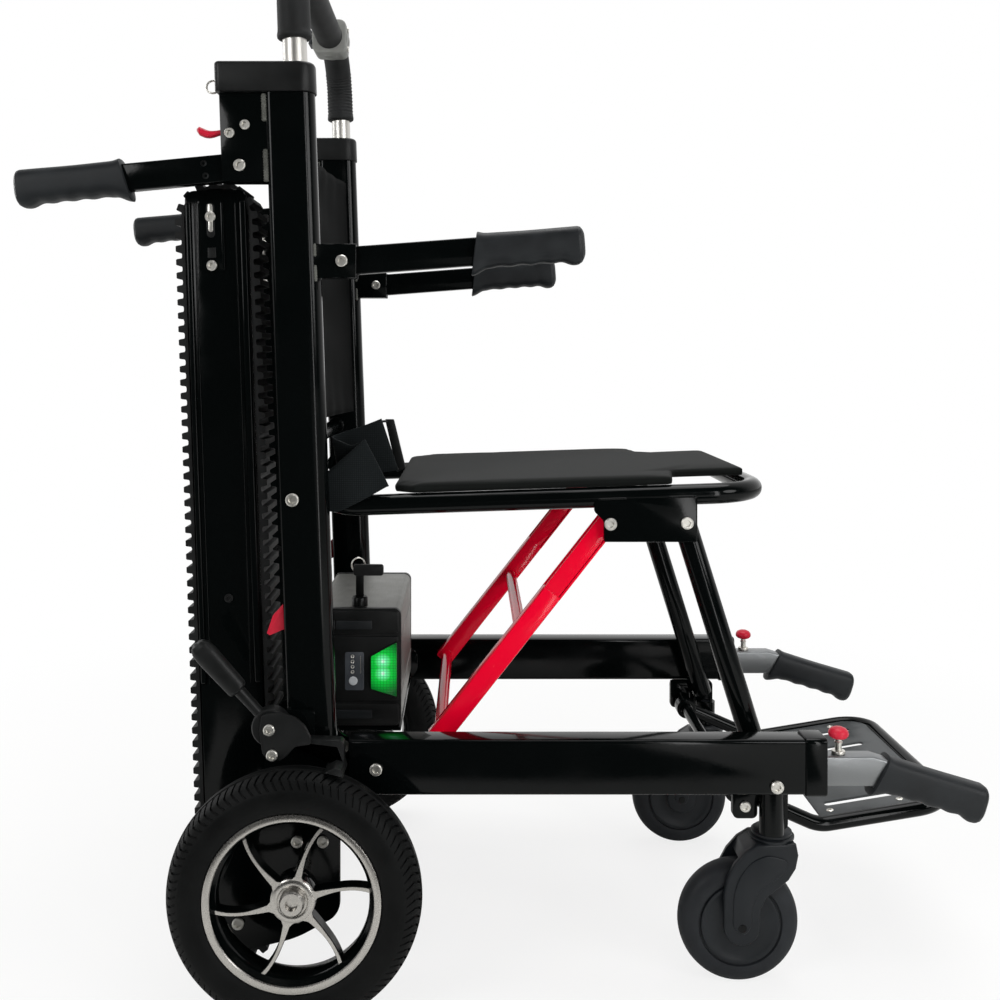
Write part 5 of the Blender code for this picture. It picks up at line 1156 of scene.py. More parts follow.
def makeFootPlate():
    tilt = angleTo(footrest["knee"], footrest["front"])
    low, high = footrest["run"]
    edge, half = footrest["margin"], footrest["y"] - footrest["tube"] + 0.0004
    slots = footrest["slots"]
    pitch = 2 * (footrest["y"] - edge) / slots
    runs = [low, low + edge, high - 1.9 * edge, high]
    lanes = [-half]
    for i in range(slots):
        middle = pitch * (i - (slots - 1) / 2)
        lanes += [middle - footrest["slot"] / 2, middle + footrest["slot"] / 2]
    lanes.append(half)
    bm = bmesh.new()
    bmesh.ops.create_grid(bm, x_segments=3, y_segments=2 * slots + 1, size=1.0)
    xs = sorted({round(v.co.x, 4) for v in bm.verts})
    ys = sorted({round(v.co.y, 4) for v in bm.verts})
    for vert in bm.verts:
        vert.co = (runs[xs.index(round(vert.co.x, 4))], lanes[ys.index(round(vert.co.y, 4))], 0)
    holes = []
    for face in bm.faces:
        place = face.calc_center_median()
        if runs[1] < place.x < runs[2] and any(a < place.y < b for a, b in zip(lanes[1::2], lanes[2::2])):
            holes.append(face)
    bmesh.ops.delete(bm, geom=holes, context="FACES")
    pushOut(bm, bm.faces[:], (0, 0, footrest["plate"]))
    corners = [e for e in bm.edges if spans(e, 2, 1e-4) and abs(abs(e.verts[0].co.y) - half) < 1e-5
               and e.verts[0].co.x > high - 1e-5]
    bevelEdges(bm, corners, footrest["corner"], 8)
    roundEdges(bm, footrest["slotCorner"], 5, 69, lambda e: spans(e, 2, 1e-4))
    roundEdges(bm, 0.0006, 2, 60)
    for vert in bm.verts:           # the plate lies between the tubes
        x, z = along(footrest["knee"], tilt, vert.co.x, vert.co.z + footrest["sit"])
        vert.co = (x, vert.co.y, z)
    addPiece(bm, "footPlate", treadPaint, "footrest", ["footrest_plate"])
    bm = bmesh.new()
    for run in footrest["screwRuns"]:
        x, z = along(footrest["knee"], tilt, run, footrest["sit"] + footrest["plate"])
        for y in (footrest["screwY"], -footrest["screwY"]):
            socketBolt(bm, (x, y, z - 0.0002), (-math.sin(tilt), 0, math.cos(tilt)), 0.0040, 0.0016)
    addPiece(bm, "footPlateScrews", zincBolt, "footrest")
    print("footrest done")


makeFootLoop()
makeFootPlate()


# Swivel casters: moulded fork and wheel. The fork's outlines are measured along X from the stem

caster = {"radius": 0.0635, "trail": 0.0365, "inner": 0.0172, "outer": 0.0230, "cheekEnd": 0.0190,
          "panelRise": 0.0014,
          "front": [(-0.0200, 0.1505), (-0.0325, 0.1430), (-0.0440, 0.1300), (-0.0520, 0.1150),
                    (-0.0553, 0.0980)],
          "back": [(-0.0168, 0.0820), (-0.0110, 0.0945), (0.0010, 0.1035), (0.0125, 0.1130),
                   (0.0200, 0.1250), (0.0228, 0.1390), (0.0205, 0.1505)],
          "panel": [(-0.0100, 0.1405), (-0.0265, 0.1330), (-0.0395, 0.1170), (-0.0455, 0.0990),
                    (-0.0466, 0.0640), (-0.0365, 0.0545), (-0.0268, 0.0630), (-0.0268, 0.0840),
                    (-0.0200, 0.1010), (-0.0050, 0.1120), (0.0085, 0.1220), (0.0130, 0.1345)],
          "hood": [(-0.0200, 0.1503), (-0.0322, 0.1428), (-0.0380, 0.1315), (-0.0150, 0.1300),
                   (0.0060, 0.1235), (0.0190, 0.1240), (0.0224, 0.1390), (0.0203, 0.1503)],
          "crown": [(0.1495, 0), (0.1495, 0.0226), (0.1512, 0.0236), (0.1532, 0.0236), (0.1540, 0.0222),
                    (0.1546, 0.0206), (0.1552, 0.0212), (0.1572, 0.0212), (0.1582, 0.0196),
                    (0.1596, 0.0180), (0.1596, 0.0060), (0.1890, 0.0060), (0.1890, 0)],
          "pin": [(0.0250, 0), (0.0250, 0.0040), (0.0242, 0.0048)],
          "disc": [(0.0154, 0.0056), (0.0156, 0.0130), (0.0138, 0.0160), (0.0134, 0.0300), (0.0148, 0.0370),
                   (0.0158, 0.0395), (0.0154, 0.0413), (0.0130, 0.0419)],
          "tread": [(0.0128, 0.0417), (0.0130, 0.0435), (0.0154, 0.0443), (0.0159, 0.0480),
                    (0.0152, 0.0525), (0.0136, 0.0562), (0.0134, 0.0566), (0.0114, 0.0598),
                    (0.0075, 0.0623), (0.0035, 0.0633)]}


def onFace(edge, y):
    return all(abs(vert.co.y - y) < 1e-5 for vert in edge.verts)


def makeCasters():
    stemX = rail["stemX"]
    hub = (stemX - caster["trail"], caster["radius"])
    front, back, swept, hood = [[(stemX + x, z) for x, z in caster[key]]
                                for key in ("front", "back", "panel", "hood")]
    arm = front + arc(hub, caster["cheekEnd"], math.pi, math.pi, 14) + back
    for name, side in sides.items():
        y, fork, body = side * rail["stemY"], "caster_fork_" + name, "caster_wheel_" + name
        bm = bmesh.new()
        for sign in (-1, 1):
            inner, outer = y + sign * caster["inner"], y + sign * caster["outer"]
            cheek = plate(arm, inner, outer)
            bevelEdges(cheek, [e for e in cheek.edges if onFace(e, outer)], 0.0024, 4)
            mergeInto(bm, cheek)
            raised = outer + sign * caster["panelRise"]
            panel = plate(swept, outer - sign * 0.0005, raised)
            bevelEdges(panel, [e for e in panel.edges if spans(e, 1, 1e-4)], 0.006, 4)
            bevelEdges(panel, [e for e in panel.edges if onFace(e, raised)], 0.0012, 3)
            mergeInto(bm, panel)
        shell = plate(hood, y - caster["outer"] + 0.0020, y + caster["outer"] - 0.0020)
        roundEdges(shell, 0.0010, 3, 30)
        mergeInto(bm, shell)
        mergeInto(bm, turned(caster["crown"], (stemX, y, 0), (0, 0, 1), 56))
        addPiece(bm, "casterFork" + name.title(), casterNylon, fork, [fork], 42)
        centre = (hub[0], y, hub[1])
        addPiece(turned(mirrored(caster["pin"]), centre, (0, 1, 0), 28), "casterPin" + name.title(),
                 darkSteel, fork)
        addPiece(turned(mirrored(caster["disc"]), centre, (0, 1, 0), 72, True), "casterDisc" + name.title(),
                 casterNylon, body, [body], 45)
        tread = mirrored(caster["tread"], [(0, caster["radius"])])
        addPiece(turned(tread, centre, (0, 1, 0), 88, True), "casterTread" + name.title(), casterTread,
                 body, sharp=50)
    print("casters done")


makeCasters()


# Crawler tracks: side plates, toothed belts, rollers and the drive between them

track = {"foot": (-0.246, 0.066), "head": (-0.271, 0.805), "y": 0.147, "half": 0.027, "inner": 0.0342,
         "belt": 0.0035, "tooth": 0.0065, "pitch": 0.0142, "cheek": 0.033, "sheet": 0.004,
         "cheekY": (0.1225, 0.1715), "lip": 0.0024, "cover": 0.0325, "coverRise": 0.0042,
         "lipStart": 0.25, "core": 0.027, "bar": 0.004, "barY": (0.1245, 0.1695), "clear": 0.0428,
         "roller": 0.0326, "rollerY": (0.1270, 0.1670), "shaft": 0.0059, "spreader": 0.62,
         "toothShape": ((0.10, 0.0), (0.20, 0.10), (0.25, 0.80), (0.30, 1.0), (0.68, 1.0), (0.73, 0.80),
                        (0.78, 0.10), (0.90, 0.0)),
         "flange": [(0, 0.0098), (0, 0.019), (0.0030, 0.019), (0.0042, 0.0178), (0.0042, 0.0098)]}
trackTilt = angleTo(track["foot"], track["head"])
trackRun = math.dist(track["foot"], track["head"])
beltRoot = track["inner"] + track["belt"]


def roundTrack(travel, reach):      # a point at that distance round the belt, that far off the centre line
    bend = math.pi * beltRoot
    if travel < trackRun:
        return along(track["foot"], trackTilt, travel, -reach)
    if travel < trackRun + bend:
        return along(track["head"], trackTilt - math.pi / 2 + (travel - trackRun) / beltRoot, reach)
    if travel < 2 * trackRun + bend:
        return along(track["foot"], trackTilt, 2 * trackRun + bend - travel, reach)
    return along(track["foot"], trackTilt + math.pi / 2 + (travel - 2 * trackRun - bend) / beltRoot, reach)


def makeBelts():
    length = 2 * trackRun + math.tau * beltRoot
    teeth = round(length / track["pitch"])
    for name, side in sides.items():
        bm = bmesh.new()
        loops = []
        for outside in (True, False):
            ring = []
            for i in range(teeth):
                for share, rise in track["toothShape"]:
                    reach = beltRoot + track["tooth"] * rise if outside else track["inner"]
                    x, z = roundTrack((i + share) * length / teeth, reach)
                    ring.append(bm.verts.new((x, side * (track["y"] - track["half"]), z)))
            loops += [bm.edges.new(pair) for pair in zip(ring, ring[1:] + ring[:1])]
        bmesh.ops.bridge_loops(bm, edges=loops)
        pushOut(bm, bm.faces[:], (0, side * 2 * track["half"], 0))
        addPiece(bm, "trackBelt" + name.title(), beltRubber, "tracks", ["track_belt_" + name],
                 50)


def onTrack(left, right, bottom, top, start=track["foot"]):     # an oblong, bottom and top along the track
    return laid(start, trackTilt, [(bottom, left), (bottom, right), (top, right), (top, left)])


def makeTrackFrame():
    foot, head = track["foot"], track["head"]
    spreader = along(foot, trackTilt, trackRun * track["spreader"])
    bm = crossTube(spreader, track["barY"][0], 0.010, 9)
    cover = pill(foot, head, track["cover"], 22)[23:]
    for across, first in ((-0.0225, -math.pi / 2), (0.0225, 0.0)):
        cover += arc(along(head, trackTilt, 0.0225, across), 0.010, trackTilt + first, math.pi / 2, 6)
    clear, core = track["clear"], track["core"]
    for side in sides.values():
        for face, outward in zip(track["cheekY"], (-1, 1)):
            cheek = plate(pill(foot, head, track["cheek"], 22), side * (face - outward * track["sheet"]),
                          side * face)
            roundEdges(cheek, 0.0007, 2, 60)
            mergeInto(bm, cheek)
            y, out = side * (face + outward * track["coverRise"]), side * outward
            front = plate(cover, side * (face - outward * 0.0004), y)
            roundEdges(front, 0.0006, 2, 60)
            mergeInto(bm, front)
            for low, high in ((-track["cover"], -0.0245), (0.0262, track["cover"])):
                lip = plate(onTrack(low, high, track["lipStart"], trackRun + 0.020), y - out * 0.0008,
                            y + out * track["lip"])
                roundEdges(lip, 0.0022, 5, 60)
                mergeInto(bm, lip)
            for rise in (-0.0205, 0.0225):  # a fine bead of the extrusion beside each lip
                bead = laid(foot, trackTilt, [(track["lipStart"], rise), (trackRun + 0.018, rise)])
                mergeInto(bm, tube([(x, y, z) for x, z in bead], 0.0010, 3))
        for sign in (-1, 1):
            bar = onTrack(sign * core, sign * (core - track["bar"]), clear, trackRun - clear)
            mergeInto(bm, slab(bar, side * track["barY"][0], side * track["barY"][1], 0, 0.0006))
        mergeInto(bm, turned(track["flange"], (spreader[0], side * 0.1226, spreader[1]), (0, -side, 0),
                             40, True))
    addPiece(bm, "trackFrame", blackEnamel, "tracks", ["track_frame"])


def makeTension():                  # belt tensioners at the heads of the tracks
    foot, head = track["foot"], track["head"]
    plates, silver, dark = bmesh.new(), bmesh.new(), bmesh.new()
    for side in sides.values():
        for face, outward in zip(track["cheekY"], (-1, 1)):
            y, out = side * (face + outward * track["coverRise"]), side * outward
            for target, left, right, bottom, top, rise, corner in (
                    (plates, -0.0080, 0.0190, -0.0540, 0.0225, 0.0016, 0.0035),
                    (plates, -0.0080, -0.0055, -0.0510, 0.0190, 0.0023, 0.0011),
                    (plates, 0.0165, 0.0190, -0.0510, 0.0190, 0.0023, 0.0011),
                    (dark, 0.0012, 0.0098, -0.0180, 0.0190, 0.0019, 0.0042),
                    (silver, 0.0030, 0.0080, -0.0120, 0.0180, 0.0022, 0.0024),
                    (dark, 0.0008, 0.0096, -0.0395, -0.0285, 0.0020, 0.0008)):
                mergeInto(target, slab(onTrack(left, right, bottom, top, head), y - out * 0.0003,
                                       y + out * rise, corner, 0.0004))
            for place in laid(head, trackTilt, [(0.0042, 0.0055), (-0.0475, 0.0055)]):
                sideBolt(silver, place, y + out * 0.0016, out, 0.0056, 0.0028)
            for share in (0.12, 0.46):
                place = along(foot, trackTilt, trackRun * share)
                sideBolt(dark, place, y - out * 0.0002, out, 0.0046, 0.0024)
    addPiece(plates, "tensionPlates", blackEnamel, "tracks")
    addPiece(silver, "tensionBolts", zincBolt, "tracks")
    addPiece(dark, "tensionSlots", satinAbs, "tracks")


def makeRollers():
    near, far = track["rollerY"]
    radius, bore = track["roller"], 0.0058
    profile = [(near, bore), (near, radius - 0.001), (near + 0.001, radius), (near + 0.0165, radius),
               (near + 0.0175, radius - 0.0030), (far - 0.0175, radius - 0.0030), (far - 0.0165, radius),
               (far - 0.001, radius), (far, radius - 0.001), (far, bore)]
    for name, node, body, at, reach in (
            ("driveShaft", "drive_shaft", "drive_rollers", track["foot"], 0.1830),
            ("idlerShaft", "idler_shaft", "idlers", track["head"], 0.1710)):
        bm = crossTube(at, reach, track["shaft"], 8)
        for side in sides.values():
            mergeInto(bm, turned(profile, (at[0], 0, at[1]), (0, side, 0), 60, True))
        addPiece(bm, name, darkSteel, body, [node])


drive = {"motor": (-0.238, 0.152), "half": 0.0430, "case": 0.0335, "flange": 0.0340,
         "flangeY": (0.0405, 0.0450), "bolts": 4, "boltRing": 0.0282, "fins": 5, "finStart": 0.0650,
         "finPitch": 0.0066,
         "neck": [(0.0440, 0), (0.0440, 0.0352), (0.0560, 0.0352), (0.0575, 0.0360), (0.0620, 0.0360),
                  (0.0635, 0.0350)],
         "fin": [(0.0, 0.0350), (0.0012, 0.0360), (0.0042, 0.0360), (0.0054, 0.0350)],
         "end": [(0.0985, 0.0350), (0.1000, 0.0358), (0.1090, 0.0358), (0.1118, 0.0325), (0.1118, 0.0130),
                 (0.1104, 0.0118), (0.1104, 0)]}


def makeDrive():                    # gear case on the shaft, with a finned motor to each side
    foot, motor = track["foot"], drive["motor"]
    profile = list(drive["neck"])
    for i in range(drive["fins"]):
        start = drive["finStart"] + i * drive["finPitch"]
        profile += [(start + run, radius) for run, radius in drive["fin"]]
    profile += drive["end"]
    case = plate(pill(foot, motor, drive["case"], 16), -drive["half"], drive["half"])
    roundEdges(case, 0.0035, 4, 60)
    for sign in (-1, 1):
        inner, outer = drive["flangeY"]
        mergeInto(case, slab(pill(foot, motor, drive["flange"], 16), sign * inner, sign * outer, 0, 0.0008))
        for turn in range(drive["bolts"]):
            for centre, first in ((foot, math.pi), (motor, 0.0)):
                place = along(centre, first + math.radians(8 + turn * 52), drive["boltRing"])
                sideBolt(case, place, sign * (outer - 0.0001), sign, 0.0034, 0.0022)
        mergeInto(case, turned(profile, (motor[0], 0, motor[1]), (0, sign, 0), 56))
    addPiece(case, "driveUnit", darkSteel, "tracks", ["drive_unit"])
    print("tracks done")


makeBelts()
makeTrackFrame()
makeTension()
makeRollers()
makeDrive()


# Parking brakes: lever with a fat hand end, a shoe on the tyre and a cover over the hub

brake = {"pivot": (-0.203, 0.2885), "grip": (-0.279, 0.372), "y": (0.2203, 0.236), "radius": 0.0105,
         "hub": 0.0190, "shoe": (-0.139, 0.2591), "shoeEnd": 0.2585, "coverY": (0.2363, 0.2402),
         "stud": (-0.2000, 0.2632),
         # stations of the lever: share of the length, then of the radius upwards and across
         "stations": [(0.06, 0.50, 0.60), (0.30, 0.52, 0.58), (0.425, 0.56, 0.60), (0.430, 0.78, 0.66),
                      (0.440, 0.92, 0.72), (0.460, 1.00, 0.74), (0.70, 1.08, 0.74), (0.86, 1.12, 0.74),
                      (0.94, 1.02, 0.70), (0.98, 0.78, 0.58), (1.00, 0.40, 0.34)],
         "cover": [(-0.2131, 0.2882), (-0.2111, 0.3022), (-0.2041, 0.3047), (-0.1901, 0.3052),
                   (-0.1771, 0.3012), (-0.1671, 0.2923), (-0.1611, 0.2803), (-0.1615, 0.2733),
                   (-0.1771, 0.2712), (-0.1861, 0.2613), (-0.1921, 0.2575), (-0.2041, 0.2575),
                   (-0.2101, 0.2643)]}


def makeBrakes():
    pivot, (x, z) = brake["pivot"], brake["shoe"]
    tilt, length = angleTo(pivot, brake["grip"]), math.dist(pivot, brake["grip"])
    near, far = brake["y"]
    hub = [(near, 0.0050), (near, brake["hub"]), (far - 0.0015, brake["hub"]), (far, brake["hub"] - 0.0015),
           (far, 0.0072), (far - 0.0012, 0.0066), (far - 0.0012, 0.0050)]
    reach = [(pivot[0] + 0.004, pivot[1] - 0.012), (x - 0.030, z + 0.0100), (x + 0.003, z + 0.0098),
             (x + 0.003, z - 0.002), (x - 0.0040, z - 0.0078), (x + 0.0125, z - 0.0125),
             (x + 0.0102, z - 0.004), (x + 0.0100, z + 0.0140), (x + 0.0070, z + 0.0168),
             (x - 0.030, z + 0.0185), (pivot[0] + 0.012, pivot[1] + 0.006)]
    sole = [(x - 0.0075, z - 0.0075), (x + 0.0120, z - 0.0122), (x + 0.0102, z - 0.004),
            (x + 0.003, z - 0.002)]
    for name, side in sides.items():
        middle = side * (near + far) / 2

        def place(point, station):
            share, tall, wide = station
            px, pz = along(pivot, tilt, length * share, point[0] * brake["radius"] * tall)
            return (px, middle + point[1] * brake["radius"] * wide, pz)

        bm = drawnOut(ovalOutline(2, 2, 2.4, 28), brake["stations"], place)
        mergeInto(bm, turned(hub, (pivot[0], 0, pivot[1]), (0, side, 0), 40, True))
        mergeInto(bm, slab(reach, side * (near + 0.0006), side * (far - 0.0004), 0.0012, 0.0010))
        mergeInto(bm, slab(sole, side * (near + 0.0008), side * brake["shoeEnd"], 0.0008, 0.0009))
        body = "brake_lever_" + name
        addPiece(bm, "brakeLever" + name.title(), satinAbs, body, [body])

    bm, silver = bmesh.new(), bmesh.new()
    near, far = brake["coverY"]
    x, z = brake["stud"]
    for side in sides.values():
        mergeInto(bm, slab(brake["cover"], side * near, side * far, 0.0022, 0.0011))
        mergeInto(bm, tube([(x, side * 0.2198, z), (x, side * near, z)], 0.0040, 6))
        for place in (pivot, brake["stud"]):
            sideBolt(silver, place, side * far, side, 0.0058)
    addPiece(bm, "brakeCovers", satinAbs, "frame")
    addPiece(silver, "brakeCoverBolts", zincBolt, "frame")
    print("brakes done")


makeBrakes()


# Battery: extruded aluminium shell between two moulded ends, lamp and gauge on the right-hand end

battery = {"x": (-0.180, -0.080), "z": (0.2455, 0.378), "half": 0.105, "end": 0.011, "corner": 0.0085,
           "gap": 0.0003, "lamp": [(-0.1135, 0.289), (-0.0845, 0.280), (-0.0845, 0.341), (-0.1135, 0.325)],
           "lampRise": 0.0030, "lampX": -0.1000, "lampZ": (0.3064, 0.3200),
           "gauge": (-0.1428, -0.1215, 0.2869, 0.3296), "button": (-0.1335, 0.2975),
           "buttonRadius": 0.0049, "lightZ": 0.3075, "lightPitch": 0.0058,
           "light": [(0.0003, 0.0011), (0.0003, 0.0021), (0.0008, 0.0021), (0.0009, 0.0016),
                     (0.0006, 0.0011)],
           "bands": ((0.3505, 0.3755), (0.2480, 0.2720)), "panel": (0.2755, 0.3470),
           "barX": ((-0.1680, -0.1540), (-0.1530, -0.1125)), "barZ": ((0.3555, 0.3650), (0.2555, 0.2650)),
           "grooves": (0.2800, 0.3440), "tray": 0.004, "trayBar": (-0.158, 0.0128)}


def caseOutline(inset=0.0):
    (rear, front), (low, high), corner = battery["x"], battery["z"], battery["corner"]
    points = []
    for first, (x, z) in enumerate(((front, high), (rear, high), (rear, low), (front, low))):
        centre = (x + (corner + inset) * (1 if x == rear else -1),
                  z + (corner + inset) * (1 if z == low else -1))
        points += arc(centre, corner, math.pi / 2 * first, math.pi / 2, 8)
    return points


def makeBatteryCase():
    half, inner = battery["half"], battery["half"] - battery["end"]
    rear, front = battery["x"]
    bm = plate(caseOutline(0.0004), -inner, inner)
    for z in battery["grooves"]:    # drawn along the front and back walls
        for x in (front - 0.0004, rear + 0.0004):
            mergeInto(bm, crossTube((x, z), inner - 0.001, 0.0007, 3))
    addPiece(bm, "batteryShell", shellAlloy, "frame", ["battery_case"], 30)

    bm, highlitBars = bmesh.new(), bmesh.new()
    for side in sides.values():
        cover = plate(caseOutline(), side * inner, side * (half - 0.0022))
        roundEdges(cover, 0.0009, 3, 40)
        mergeInto(bm, cover)
        for bottom, top in battery["bands"]:
            band = oblong(rear + 0.003, front - 0.0022, bottom, top)
            mergeInto(bm, slab(band, side * (half - 0.004), side * half, 0.0042, 0.0009))
        for bottom, top in battery["barZ"]:
            for left, right in battery["barX"]:
                mergeInto(highlitBars, slab(oblong(left, right, bottom, top), side * (half - 0.001),
                                     side * (half + 0.0014), 0.0010, 0.0007))
        panel = oblong(rear + 0.005, front - 0.0030, *battery["panel"])
        mergeInto(bm, slab(panel, side * (half - 0.004), side * (half - 0.0003), 0.0012, 0.0008))
    cx, cz = [sum(values) / 4 for values in zip(*battery["lamp"])]
    bezel = [(cx + (x - cx) * 1.10, cz + (z - cz) * 1.06) for x, z in battery["lamp"]]
    mergeInto(bm, slab(bezel, -half + 0.0015, -half - 0.0009, 0.0016, 0.0004))
    addPiece(bm, "batteryEnds", satinAbs, "frame")
    # painted highlight: the grip bars lighter than the ends, for their lit edges against the shaded recess
    addPiece(highlitBars, "batteryBarsHighlit", gripNylon, "frame")


def makeBatteryFront():
    half = battery["half"]
    bm = slab(battery["lamp"], -half - 0.0003, -half - battery["lampRise"], 0.0012, 0.0010)
    spots = [(datumX + battery["lampX"], -half - battery["lampRise"], z) for z in battery["lampZ"]]
    addPiece(bm, "batteryLamp", litLens("litLens", spots), "frame", ["battery_lamp"])
    bm = slab(oblong(*battery["gauge"]), -half + 0.001, -half - 0.0004, 0.0022, 0.0002)
    addPiece(bm, "batteryGauge", paleAbs, "frame")
    x, z = battery["button"]
    bm = bmesh.new()
    for i in range(4):              # charge lights, unlit, each in a raised rim
        up = battery["lightZ"] + i * battery["lightPitch"]
        mergeInto(bm, turned(battery["light"], (x - 0.0008, -half, up), (0, -1, 0), 20, True))
    mergeInto(bm, block((-0.1256, -half - 0.0008, 0.3060), (-0.1250, -half - 0.0002, 0.3255)))
    addPiece(bm, "gaugeRims", zincBolt, "frame")
    radius = battery["buttonRadius"]
    bm = turned([(-0.0036, 0), (-0.0036, radius), (0.0009, radius), (0.0014, radius - 0.0007),
                 (0.0012, radius - 0.0022), (0.0010, 0)], (x, -half, z), (0, -1, 0), 32)
    addPiece(bm, "batteryButton", buttonAbs, "battery_button", ["battery_button"], 50)

    floor = battery["z"][0] - battery["gap"]
    bm = slab(oblong(*battery["x"], floor - battery["tray"], floor), -half, half, 0, 0.0008)
    barX, drop = battery["trayBar"]
    mergeInto(bm, crossTube((barX, floor - drop), 0.1765, 0.010, 9))
    addPiece(bm, "batteryTray", blackEnamel, "frame", ["battery_tray"])


key = {"x": -0.128, "y": -0.086, "blade": (-0.0045, 0.0045, 0.009, 0.036), "bladeHalf": 0.0011,
       "bow": (-0.0075, 0.0270, 0.0335, 0.0462), "bowHalf": 0.0028, "ring": (0.0072, 0.0034, 0.0084),
       "barrel": [(0, 0), (0, 0.0089), (0.0086, 0.0089), (0.0100, 0.0078), (0.0100, 0)]}


def makeKey():
    x, y, z = key["x"], key["y"], battery["z"][1] + battery["gap"]
    blade, bow = [[(x + px, z + pz) for px, pz in oblong(*key[part])] for part in ("blade", "bow")]
    bm = turned(key["barrel"], (x, y, z), (0, 0, 1), 40)
    mergeInto(bm, slab(blade, y - key["bladeHalf"], y + key["bladeHalf"], 0, 0.0004))
    addPiece(bm, "keyBarrel", darkSteel, "battery_key")
    addPiece(slab(bow, y - key["bowHalf"], y + key["bowHalf"], 0.0032, 0.0011), "keyBow", satinAbs,
             "battery_key", ["battery_key"])
    ring = wireRing((x - 0.0018, y, z + 0.0455), key["ring"], 0.6, 32)
    addPiece(tube(ring, 0.0009, 3), "keyRing", zincBolt, "battery_key")
    print("battery done")


makeBatteryCase()
makeBatteryFront()
makeKey()


# Seat pad: foam board in coated cloth, blown up by a short cloth simulation

pad = {"rear": -0.088, "wide": 0.2137, "step": 0.226, "front": 0.306, "half": 0.179, "tongue": 0.115,
       "chamfer": 0.024, "rest": 0.0113, "thick": 0.0105, "slack": 0.0018, "voxel": 0.0038,
       "pressure": 4.0, "frames": 20, "most": 0.0020, "stiffness": 25}


def padOutline(inset):
    corners = [(pad["rear"] + inset, pad["half"] - pad["chamfer"]),
               (pad["rear"] + pad["chamfer"], pad["half"] - inset),
               (pad["wide"] - inset, pad["half"] - inset), (pad["step"] - inset, pad["tongue"] - inset),
               (pad["front"] - inset, pad["tongue"] - inset)]
    return [(x, -y) for x, y in corners] + [(x, y) for x, y in reversed(corners)]


def evaluated(piece):
    return bpy.data.meshes.new_from_object(piece.evaluated_get(bpy.context.evaluated_depsgraph_get()))


def swell(piece):                   # pressure lets each point of the cloth out, within a limit
    start = [v.co.copy() for v in piece.data.vertices]
    cloth = piece.modifiers.new("blown", "CLOTH")
    cloth.settings.use_pressure = True
    cloth.settings.uniform_pressure_force = pad["pressure"]
    cloth.settings.effector_weights.gravity = 0
    cloth.settings.quality = 5
    cloth.settings.tension_stiffness = pad["stiffness"]
    cloth.settings.compression_stiffness = pad["stiffness"]
    cloth.point_cache.frame_end = pad["frames"]
    for step in range(1, pad["frames"] + 1):
        scene.frame_set(step)
    blown = evaluated(piece)
    end = [v.co.copy() for v in blown.vertices]
    bpy.data.meshes.remove(blown)
    piece.modifiers.remove(cloth)
    scene.frame_set(1)
    for vert, was, now in zip(piece.data.vertices, start, end):
        move = now - was
        if move.length > pad["most"]:
            move.length = pad["most"]
        vert.co = was + move


def makePad():
    bm = bmesh.new()
    face = addFace(bm, [(x, y, 0) for x, y in padOutline(pad["slack"])])
    pushOut(bm, [face], (0, 0, pad["thick"] - pad["slack"]))
    bmesh.ops.recalc_face_normals(bm, faces=bm.faces)
    core = bpy.data.meshes.new("padCore")
    bm.to_mesh(core)
    bm.free()
    blank = bpy.data.objects.new("padCore", core)
    scene.collection.objects.link(blank)
    remesh = blank.modifiers.new("even", "REMESH")
    remesh.mode = "VOXEL"
    remesh.voxel_size = pad["voxel"]
    even = evaluated(blank)
    bpy.data.objects.remove(blank)
    bpy.data.meshes.remove(core)
    work = bpy.data.objects.new("padWork", even)
    scene.collection.objects.link(work)
    swell(work)
    bm = bmesh.new()
    bm.from_mesh(work.data)
    bpy.data.objects.remove(work)
    bpy.data.meshes.remove(even)
    bmesh.ops.smooth_vert(bm, verts=bm.verts, factor=0.4, use_axis_x=True, use_axis_y=True, use_axis_z=True)
    for vert in bm.verts:
        vert.co.z = max(vert.co.z, 0.0) + seatTubeZ(vert.co.x) + pad["rest"]
    piece = addPiece(bm, "seatPad", padCloth, "seat", ["seat_pad"], 60)
    finer = piece.modifiers.new("finer", "SUBSURF")
    finer.levels = 1
    finer.render_levels = 1
    print("seat pad done")


makePad()


# Lap belt: webbing doubled back on itself, a tongue plate at its end

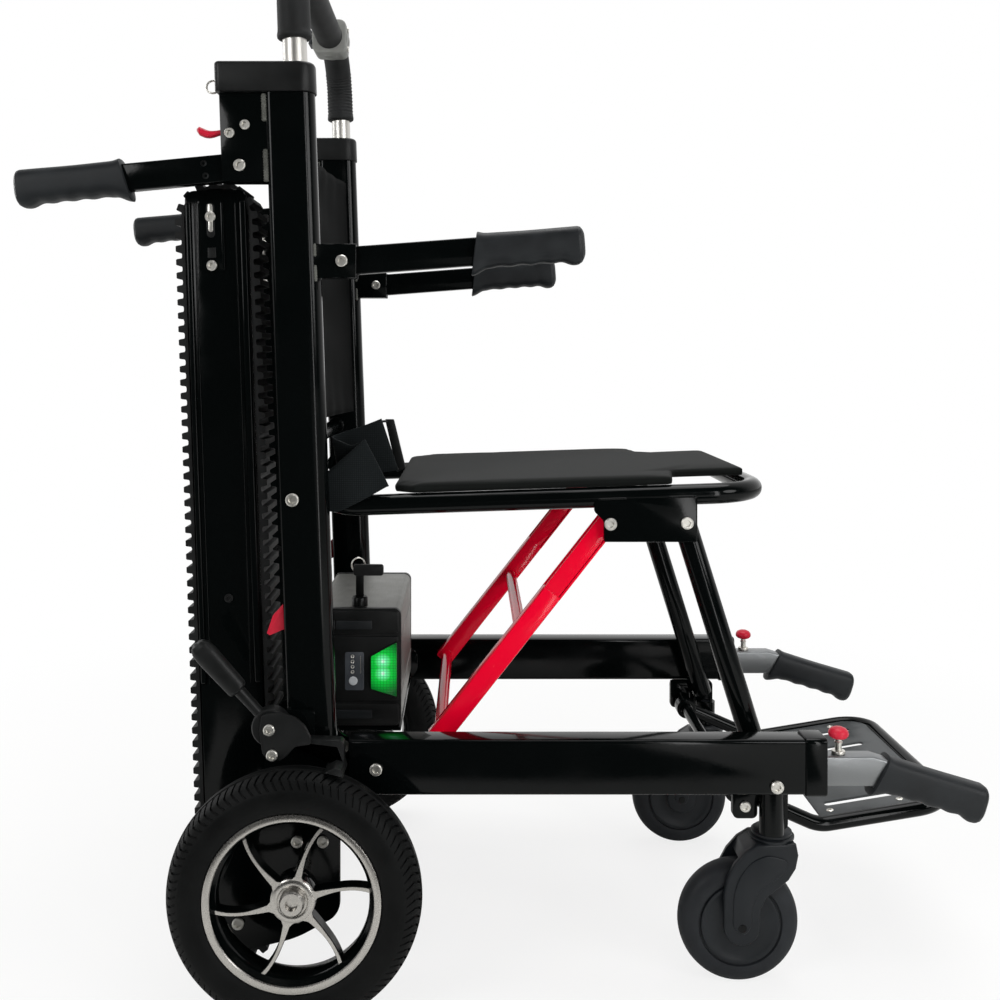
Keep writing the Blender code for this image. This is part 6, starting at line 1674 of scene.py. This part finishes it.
belt = {"thick": 0.0016, "bulge": 0.0012,
        # stations along the webbing: upper and lower edge in X and Z, then how far out it lies
        "stations": [((-0.1660, 0.5283), (-0.1500, 0.4985), 0.1827),
                     ((-0.1601, 0.5335), (-0.1390, 0.4990), 0.1829),
                     ((-0.1370, 0.5535), (-0.1140, 0.5110), 0.1829),
                     ((-0.1160, 0.5717), (-0.0912, 0.5236), 0.1824),
                     ((-0.1139, 0.5735), (-0.0891, 0.5246), 0.1795),
                     ((-0.1152, 0.5722), (-0.0906, 0.5237), 0.1760),
                     ((-0.1278, 0.5672), (-0.1090, 0.5220), 0.1725),
                     ((-0.1385, 0.5704), (-0.1270, 0.5250), 0.1685),
                     ((-0.1500, 0.5750), (-0.1420, 0.5290), 0.1610),
                     ((-0.1440, 0.5782), (-0.1330, 0.5330), 0.1540),
                     ((-0.1220, 0.5850), (-0.1050, 0.5350), 0.1510),
                     ((-0.1012, 0.5930), (-0.0830, 0.5380), 0.1505),
                     ((-0.0996, 0.5937), (-0.0812, 0.5380), 0.1480),
                     ((-0.1012, 0.5928), (-0.0832, 0.5376), 0.1455),
                     ((-0.1200, 0.5850), (-0.1030, 0.5350), 0.1440)],
        "tongue": [(-0.0955, 0.5927), (-0.0857, 0.5927), (-0.0726, 0.5391), (-0.0824, 0.5347)],
        "tongueY": (0.1335, 0.1365), "loops": ((-0.0925, 0.5905), (-0.0800, 0.5385))}


def smoothRun(points, share):       # a smooth curve through the points, share from 0 to 1
    place = share * (len(points) - 1)
    k = min(int(place), len(points) - 2)
    t = place - k
    before, after = points[max(k - 1, 0)], points[min(k + 2, len(points) - 1)]
    a, b = points[k], points[k + 1]
    bend = 2 * before - 5 * a + 4 * b - after + t * (3 * (a - b) + after - before)
    return a + t / 2 * ((b - before) + t * bend)


def makeLapBelt():
    uppers, lowers = [[Vector((station[edge][0], -station[2], station[edge][1]))
                       for station in belt["stations"]] for edge in (0, 1)]
    bm = bmesh.new()
    bmesh.ops.create_grid(bm, x_segments=140, y_segments=10, size=0.5)
    for vert in bm.verts:
        share, across = min(1.0, max(0.0, vert.co.x + 0.5)), vert.co.y + 0.5
        low, high = smoothRun(lowers, share), smoothRun(uppers, share)
        vert.co = low.lerp(high, across) + Vector((0, belt["bulge"] * math.sin(across * math.pi), 0))
    area = sum(face.calc_area() for face in bm.faces)
    piece = addPiece(bm, "lapStrap", webbing, "seat", ["lap_belt"], 80)
    thicken(piece, belt["thick"])
    near, far = belt["tongueY"]
    bm = slab(belt["tongue"], -near, -far, 0.0012, 0.0008)
    for x, z in belt["loops"]:
        route = [(x, -0.1350, z), (x - 0.0050, -0.1380, z), (x - 0.0070, -0.1478, z)]
        mergeInto(bm, tube(route, 0.0013, 4))
    addPiece(bm, "lapTongue", satinAbs, "seat")
    print("lap belt done")


makeLapBelt()

print("all pieces placed")
